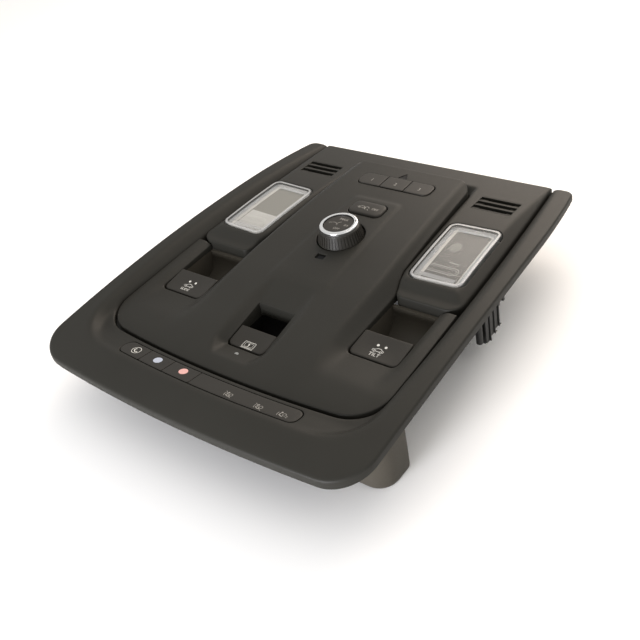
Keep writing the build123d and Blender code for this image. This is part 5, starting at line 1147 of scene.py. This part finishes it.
def ribbon(points, width, height, lift=PRINT_LIFT, closed=False):
    """Thin printed or moulded line draped on a surface."""
    points = np.asarray(points, float)
    if closed:
        ahead, behind = np.roll(points, -1, axis=0), np.roll(points, 1, axis=0)
    else:
        ahead = np.vstack([points[1:], 2 * points[-1] - points[-2]])
        behind = np.vstack([2 * points[0] - points[1], points[:-1]])
    way = ahead - behind
    way /= np.maximum(np.hypot(*way.T), 1e-9)[:, None]
    side = np.stack([-way[:, 1], way[:, 0]], axis=1) * width / 2
    rings = [points + side, points - side]
    verts = np.vstack([np.column_stack([ring, height(ring) + lift]) for ring in rings])
    count = len(points)
    faces = [(i, i + 1, count + i + 1, count + i) for i in range(count - 1)]
    if closed:
        faces.append((count - 1, 0, count, 2 * count - 1))
    return verts, faces


def disc(x, y, radius_x, radius_y, height, lift=PRINT_LIFT):
    """Printed dot draped on a surface."""
    rim = circle(0.0, 0.0, 1.0, 40) * [radius_x, radius_y]
    rings = [rim * share + [x, y] for share in (0.35, 0.7, 1.0)]
    points = np.vstack(rings + [np.array([[x, y]])])
    faces = ring_faces(0, 40, 3) + [(i, (i + 1) % 40, 120) for i in range(40)]
    return np.column_stack([points, height(points) + lift]), faces


def filled_shape(points, height, lift=PRINT_LIFT):
    """Printed patch with a given outline, draped on a surface."""
    loop = np.asarray(points, float)
    return np.column_stack([loop, height(loop) + lift]), [tuple(range(len(loop)))]


def lettering(text, x, y, size, height, lift=PRINT_LIFT):
    """Printed word, centred on a place and draped on a surface."""
    curve = bpy.data.curves.new(text, "FONT")
    curve.body = text
    curve.size = size
    curve.align_x = "CENTER"
    curve.align_y = "CENTER"
    holder = bpy.data.objects.new(text, curve)
    bpy.context.scene.collection.objects.link(holder)
    drawn = holder.evaluated_get(bpy.context.evaluated_depsgraph_get())
    mesh = bpy.data.meshes.new_from_object(drawn)
    points = np.array([tuple(v.co)[:2] for v in mesh.vertices]) + [x, y]
    faces = [tuple(polygon.vertices) for polygon in mesh.polygons]
    bpy.data.objects.remove(holder)
    bpy.data.curves.remove(curve)
    bpy.data.meshes.remove(mesh)
    return np.column_stack([points, height(points) + lift]), faces


def placed(points, x, y, size=1.0):
    """Sign outline moved to its place."""
    return np.array(points, float) * size + [x, y]


def car_sign(x, y, size, height, width=0.34):
    """Outline of a car with its two wheels."""
    parts = [ribbon(placed(CAR_BODY, x, y, size), width, height)]
    for wheel in (-WHEEL_X, WHEEL_X):
        tyre = circle(x + wheel * size, y + SILL_Y * size, WHEEL_R * size, 16)
        parts.append(ribbon(tyre, width, height, closed=True))
    parts.append(ribbon(placed([(-1.5, SILL_Y), (1.5, SILL_Y)], x, y, size), width, height))
    return parts


def rocker_signs(tops):
    """Signs of the sunroof rockers: two dots, a car outline and a word; and of the sunshade rocker."""
    for (name, sign), word, size in zip(SIDES, ("TILT", "SLIDE"), (4.0, 3.2)):
        top = tops[name]
        x = sign * ROCKER_SIGN_X
        parts = [disc(x + step, -41.3, 0.9, 0.9, top) for step in (-2.8, 2.8)]
        parts += car_sign(x - 0.6, -45.0, 0.92, top)
        parts.append(lettering(word, x - 0.9, -49.2, size, top))
        add_piece(f"{name}_sunroof_sign", parts, INK, f"{name}_sunroof")
    top = tops["sunshade"]
    roof = rounded_rectangle(-3.9, 5.1, -77.3, -72.3, 0.3)
    shade = rounded_rectangle(-2.6, 3.8, -76.4, -73.2, 0.2)
    parts = [
        ribbon(roof, 0.36, top, closed=True),
        ribbon([(-4.3, -78.0), (5.5, -78.0)], 0.3, top),
        ribbon(shade, 0.2, top, closed=True),
        ribbon([(0.6, -76.2), (0.6, -74.2)], 0.6, top),
        filled_shape([(-0.3, -74.7), (1.5, -74.7), (0.6, -73.5)], top),
    ]
    add_piece("sunshade_sign", parts, INK, "sunshade")


def neck_signs(strip_top, override_top):
    """Numbers of the transmitter keys and the sign of the override key."""
    for place in range(3):
        x = (place - 1) * 2 * STRIP_HALF / 3
        parts = [lettering(str(place + 1), x + 0.4, 99.8, 4.6, strip_top)]
        add_piece(f"transmitter_number_{place + 1}", parts, DIM_INK, f"button_{place + 1}")
    parts = car_sign(-4.6, 64.2, 0.75, override_top, 0.3)
    parts.append(ribbon(circle(-0.2, 63.8, 1.6, 24)[:18], 0.4, override_top))
    parts.append(ribbon([(0.9, 62.5), (2.0, 61.5)], 0.4, override_top))
    parts.append(lettering("OFF", 6.6, 64.0, 3.2, override_top))
    add_piece("override_sign", parts, DIM_INK, "override")


def row_signs(top):
    """Handset, pale dots and restraint signs of the front row."""
    x, y = CALL_SIGN
    grip = [(-1.5, 1.2), (-1.7, 0.2), (-0.9, -1.0), (0.3, -1.7), (1.4, -1.5)]
    parts = [ribbon(circle(x, y, 3.2, 40), 0.42, top, closed=True), ribbon(placed(grip, x, y), 0.75, top)]
    for end_x, end_y in ((-1.3, 1.1), (1.3, -1.3)):
        parts.append(disc(x + end_x, y + end_y, 0.62, 0.62, top))
    add_piece("call_sign", parts, INK, "call")
    blue = disc(*BLUE_DOT, *DOT_RADII, top)
    add_piece("blue_dot", [blue], BLUE_LACQUER, "blue_dot")
    key_line = [(-33.7, -118.4), (-34.3, -117.6), (-33.3, -113.2), (-31.9, -112.4), (-31.2, -113.4)]
    add_piece("blue_dot_mark", [ribbon(key_line, 0.24, top)], BLACK_INK, "blue_dot")
    red = disc(*RED_DOT, *DOT_RADII, top)
    add_piece("red_dot", [red], PINK_LACQUER, "red_dot")
    sitter = [(-0.8, 0.6), (-1.2, -1.0), (0.4, -1.6), (1.6, -1.5)]
    seat = [(-2.4, 1.0), (-2.6, -0.6), (-2.0, -2.0)]
    parts = []
    for x, y in RESTRAINT_SIGNS:
        parts.append(disc(x - 0.6, y + 1.5, 0.62, 0.62, top))
        parts.append(ribbon(placed(sitter, x, y), 0.55, top))
        parts.append(ribbon(placed(seat, x, y), 0.32, top))
        parts.append(ribbon(circle(x + 1.9, y + 0.3, 1.1, 20), 0.3, top, closed=True))
    for x, y in RESTRAINT_SIGNS[:2]:
        parts.append(ribbon(placed([(-3.2, 2.3), (3.2, -2.4)], x, y), 0.26, top))
    parts.append(lettering("2", 66.4, -117.4, 2.6, top))
    add_piece("restraint_signs", parts, DIM_INK, "console")


def cap_signs():
    """Signs of the knob's cap, and the black tick on its ring."""

    def top(points):
        return np.full(len(points), CAP_TOP)

    def ring_top(points):
        return np.full(len(points), RING_TOP)

    parts = [
        lettering("MAX", 0.6, KNOB_Y + 5.9, 3.2, top, CAP_LIFT),
        lettering("3/4", 5.9, KNOB_Y + 0.2, 2.7, top, CAP_LIFT),
        lettering("OFF", 1.6, KNOB_Y - 5.2, 2.9, top, CAP_LIFT),
        ribbon(placed(CAR_BODY, -4.2, KNOB_Y - 0.3, 0.78), 0.3, top, CAP_LIFT),
        ribbon([(-1.6, KNOB_Y + 0.6), (0.6, KNOB_Y + 2.9)], 0.34, top, CAP_LIFT),
    ]
    add_piece("cap_signs", parts, DIM_INK, "knob_cap")
    tick = placed([(9.1, 7.1), (10.1, 5.9), (11.0, 6.7), (10.0, 7.8)], 0, KNOB_Y)
    add_piece("ring_tick", [filled_shape(tick, ring_top, 0.04)], BLACK_INK, "knob")


def lens_top(points):
    """Face of both lenses, a little proud of the lamp panel."""
    return lamp_crown(points[:, 1]) + LENS_PROUD


def lens_box(sign, half_x, y0, y1, radius):
    """Plan of a part inside a lens, turned with it."""
    x = sign * LENS_X
    return rounded_rectangle(x - half_x, x + half_x, y0, y1, radius, 1.0, sign * LENS_TURN)


def map_lamp(name, sign, floor_material):
    """Clear lens with its prisms, moulded pill, frame and diffuser sheet."""
    body = f"{name}_lens"
    skirt = skirt_to(LENS_BASE, LENS_SKIN)
    lens = shell(lens_loop(sign, 0.0), [], lens_top, 1.2, 1.2, 0.0, skirt, skin=LENS_SKIN)
    add_piece(f"{name}_lens_cover", [lens], LENS, body, f"{name}_lamp_lens")

    def under(points):
        return lens_top(points) - PRISM_DROP

    ring = prism_ring(lens_loop(sign, -2.0), 3.4, PRISM_PITCH, under, 0.35)
    rim = prism_ring(lens_loop(sign, -0.9), 1.6, PRISM_PITCH, lens_top, 0.05)
    add_piece(f"{name}_lens_prisms", [ring, rim], PRISM, body)
    x = sign * LENS_X
    front_y = LENS_Y - LENS_LENGTH / 2
    xs = np.arange(x - FRONT_PRISM_HALF, x + FRONT_PRISM_HALF, PRISM_PITCH / 2)
    ridge = np.where(np.arange(len(xs)) % 2 == 0, 0.0, FRONT_PRISM_DEPTH)
    rings = []
    for y in (front_y + 5.6, front_y + 9.2):
        line = np.stack([xs, np.full(len(xs), y)], axis=1)
        rings.append(np.column_stack([line, under(line) - FRONT_PRISM_DEPTH + ridge]))
    count = len(xs)
    faces = [(i, i + 1, count + i + 1, count + i) for i in range(count - 1)]
    add_piece(f"{name}_front_prisms", [(np.vstack(rings), faces)], PRISM, body)
    pill = rounded_rectangle(x - 11.6, x + 12.4, front_y + 9.9, front_y + 16.7, 3.3, 0.5)
    parts = [
        ribbon(pill, 0.35, lens_top, MARK_LIFT, True),
        ribbon(inward(pill, np.full(len(pill), 1.4)), 0.22, lens_top, MARK_LIFT, True),
        ribbon([(x + 1.4, front_y + 21.4), (x + 9.2, front_y + 21.4)], 0.4, lens_top, MARK_LIFT),
    ]
    add_piece(f"{name}_lens_mark", parts, REFLECTOR, body)
    lamp_tray(name, sign, floor_material)


def sheet(loop, height, lift):
    """Thin sheet inside a loop, draped on a surface."""
    middle = loop.mean(0)
    rings = [middle + (loop - middle) * share for share in (0.3, 0.6, 0.85, 1.0)]
    points = np.vstack(rings + [middle[None]])
    n = len(loop)
    faces = ring_faces(0, n, 4) + [(i, (i + 1) % n, 4 * n) for i in range(n)]
    return np.column_stack([points, height(points) + lift]), faces


def lamp_tray(name, sign, floor_material):
    """White frame moulded under a lens, with the diffuser sheet it holds."""
    body = f"{name}_lens"
    count = 120

    def box(half_x, half_y, radius):
        return evenly(lens_box(sign, half_x, LENS_Y - half_y, LENS_Y + half_y, radius), count)

    loops = []
    for half_x, half_y, radius, drop in LENS_FRAME:
        loop = box(half_x, half_y, radius)
        loops.append(np.column_stack([loop, lens_top(loop) - drop]))
    rim = (np.vstack(loops), ring_faces(0, count, len(loops)))
    add_piece(f"{name}_lens_frame", [rim], REFLECTOR, body)
    floor = sheet(box(12.8, 27.2, 1.6), lens_top, -DIFFUSER_DROP)
    add_piece(f"{name}_diffuser", [floor], floor_material, body)
    if sign > 0:
        spot = disc(LENS_X - 5.6, 56.6, 4.2, 5.4, lens_top, -PATCH_DROP)
        add_piece("right_light_spot", [spot], SPOT_GREY, "right_lens")
    else:
        front_y = LENS_Y - 26.8
        patch = sheet(lens_box(sign, 12.6, front_y, front_y + 21.0, 0.6), lens_top, -PATCH_DROP)
        add_piece("left_white_patch", [patch], REFLECTOR, "left_lens")


def clip_tower():
    """Ribbed clip tower of the right side bracket with its round post and bright spring tips."""
    parts = []
    for low, high, base in CLIP_RIBS:
        block = rounded_rectangle(CLIP_INNER_X, CLIP_FACE_X, low, high, 0.6, 1.0)
        rib = rounded_rectangle(CLIP_FACE_X, CLIP_FACE_X + 0.9, high - 1.2, high, 0.3)
        parts.append(prism(block, base, TOWER_TOP, 0.3))
        parts.append(prism(rib, base - 0.3, TOWER_TOP, 0.3))
    parts.append(prism(circle(*CLIP_POST, 36), CLIP_POST_BASE, TOWER_TOP, 0.6))
    add_piece("right_clip_tower", parts, NYLON, "console")
    tips = []
    for y, base in CLIP_TIPS:
        tip = rounded_rectangle(CLIP_FACE_X, CLIP_FACE_X + 1.2, y - 0.7, y + 0.7, 0.5, 0.5)
        tips.append(prism(tip, base, base + 1.4, 0.3))
    add_piece("right_clip_tips", tips, SPRING, "console")


def grille_gauze():
    """Black nylon gauze in the slots of both microphone grilles."""
    parts = []
    for sign in (-1, 1):
        for row in range(GRILLE_COUNT):
            (_, low_y, rear_y), (_, low_z, rear_z) = grille_row(row)
            heights = (low_z - GAUZE_DROP, rear_z - GAUZE_DROP)
            parts.append(slab(*grille_span(sign, GRILLE_WIDTH), low_y, rear_y, *heights, GAUZE_THICK))
    add_piece("grille_gauze", parts, NYLON, "console")


def front_tower():
    """Moulded tower of the right switch housing that shows under the corner of the bezel."""
    x0, x1, y0, y1 = TOWER_BOX
    count = 110
    outside, inside = [], []
    for z, draft in TOWER_LEVELS:
        radii = (10.0, 13.0 - draft, 4.0, 4.0)
        ring = evenly(rounded_rectangle(x0 + draft, x1 - draft, y0 + draft, y1 - draft, radii, 1.2), count)
        outside.append(np.column_stack([ring, np.full(count, z)]))
        inner_z = z + TOWER_WALL if z < TOWER_FLOOR else z
        hollow = inward(ring, np.full(count, TOWER_WALL))
        inside.insert(0, np.column_stack([hollow, np.full(count, inner_z)]))
    levels = len(outside)
    faces = ring_faces(0, count, levels) + ring_faces(count * levels, count, levels)
    faces.append(tuple(range(count * (levels - 1), count * levels)))
    faces.append(tuple(range(count * levels, count * (levels + 1)))[::-1])
    rim = count * (2 * levels - 1)
    faces += [(i, (i + 1) % count, rim + (i + 1) % count, rim + i) for i in range(count)]
    mesh = (np.vstack(outside + inside), faces)
    add_piece("right_front_tower", [mesh], HOUSING, "console")


def both(*kinds):
    """Names of the nodes that both sides have."""
    return [f"{side}_{kind}" for kind in kinds for side, _ in SIDES]


def paint_solids():
    """Materials of all CAD nodes, also of those that a piece stands in for."""
    keys = ["tailgate_override_button", "mode_knob", "mode_knob_cap", "sunshade_rocker", "indicator_panel"]
    keys += [f"transmitter_button_{place}" for place in (1, 2, 3)]
    keys += ["call_button", "blue_dot_button", "red_dot_button"]
    nylon = ["encoder", "centre_connector", "front_connector"]
    wells = ["sunshade_switch_housing", "centre_module_housing", "front_module_housing"]
    boards = ["sunshade_switch_board", "centre_module_board", "front_module_board"]
    solids = (
        (FACE, ["bezel_frame", "lamp_panel", "centre_panel"]),
        (KEY, keys + both("rocker")),
        (HOUSING, both("switch_housing", "lamp_housing")),
        # the housings round the finger wells get the near-black painted shade
        (WELL_SHADE, wells),
        (NYLON, nylon + both("side_bracket", "connector", "microphone")),
        (LENS, both("lamp_lens")),
        (SMOKED, ["transmitter_window", "sensor_window"]),
        (REFLECTOR, both("lamp_reflector", "lamp_led")),
        (CHROME, ["mode_knob_ring"]),
        (BOARD, boards + both("lamp_board", "switch_board")),
        (SILICONE, ["button_mat", "front_mat"]),
        (STEEL, ["sunshade_rocker_pin", "housing_screws"] + both("rocker_pin")),
        (SPRING, ["spring_clips"]),
    )
    for material, names in solids:
        for name in names:
            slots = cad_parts[name].data.materials
            slots.clear()
            slots.append(material)


def plain_surface(name, colour, roughness):
    """Plain painted surface for the studio floor."""
    material, _, shader = new_material(name)
    shader.inputs["Base Color"].default_value = linear(colour)
    shader.inputs["Roughness"].default_value = roughness
    return material


def studio_world():
    """White backdrop for the camera and in gloss; softer light on the part."""
    world = bpy.data.worlds.new("studio")
    bpy.context.scene.world = world
    world.use_nodes = True
    tree = world.node_tree
    tree.nodes.clear()
    output = add_node(tree, "ShaderNodeOutputWorld")
    path = add_node(tree, "ShaderNodeLightPath")
    seen = path.outputs["Is Camera Ray"]
    for kind in ("Is Glossy Ray", "Is Transmission Ray"):
        inputs = {0: seen, 1: path.outputs[kind]}
        seen = add_node(tree, "ShaderNodeMath", {"operation": "MAXIMUM"}, inputs).outputs[0]
    way = add_node(tree, "ShaderNodeTexCoord").outputs["Generated"]
    side = add_node(tree, "ShaderNodeVectorMath", {"operation": "DOT_PRODUCT"}, {0: way, 1: BRIGHT_SIDE})
    levels = {"Value": side.outputs["Value"], "From Min": -0.8, "From Max": 0.8}
    levels |= {"To Min": AMBIENT[0], "To Max": AMBIENT[1]}
    level = add_node(tree, "ShaderNodeMapRange", None, levels).outputs["Result"]
    ambient = add_node(tree, "ShaderNodeBackground", None, {"Color": linear("f4f2ef"), "Strength": level})
    gloss = {"Value": path.outputs["Is Glossy Ray"], "To Min": 1.0, "To Max": GLOSS_LEVEL}
    shown = add_node(tree, "ShaderNodeMapRange", None, gloss).outputs["Result"]
    white = add_node(tree, "ShaderNodeBackground", None, {"Color": linear("ffffff"), "Strength": shown})
    mix = add_node(tree, "ShaderNodeMixShader", None, {0: seen, 1: ambient.outputs[0], 2: white.outputs[0]})
    tree.links.new(mix.outputs[0], output.inputs["Surface"])


def stage():
    """Floor, soft lamps, world and camera."""
    bpy.ops.mesh.primitive_plane_add(size=FLOOR_SIZE, location=(0, 0, -0.0002))
    floor = bpy.context.object
    floor.name = "floor"
    floor.data.materials.append(plain_surface("pale_floor", "fafafa", 0.9))
    studio_world()
    for name, place, target, size, power, colour in SOFTBOXES:
        light = bpy.data.lights.new(name, "AREA")
        light.shape = "DISK"
        light.size = size
        light.energy = power
        light.color = linear(colour)[:3]
        lamp = bpy.data.objects.new(name, light)
        bpy.context.scene.collection.objects.link(lamp)
        lamp.location = place
        lamp.rotation_euler = (Vector(target) - Vector(place)).to_track_quat("-Z", "Y").to_euler()
    camera_data = bpy.data.cameras.new("camera")
    camera_data.lens = CAMERA_LENS
    camera_data.sensor_width = 36.0
    camera_data.clip_start = 0.01
    camera = bpy.data.objects.new("camera", camera_data)
    bpy.context.scene.collection.objects.link(camera)
    camera.location = CAMERA_PLACE
    camera.rotation_euler = [math.radians(turn) for turn in CAMERA_TURN]
    bpy.context.scene.camera = camera
    bpy.context.scene.view_settings.view_transform = "Standard"


paint_solids()
bezel_piece()
centre_piece()
lamp_panel_piece()
neck_signs(*neck_keys())
row_signs(row_keys())
rocker_signs(rockers())
cap_signs()
front_tower()
clip_tower()
grille_gauze()
for lamp_side, floor_kind in zip(SIDES, (SMOKE_GREY, WARM_GREY)):
    map_lamp(*lamp_side, floor_kind)
stage()
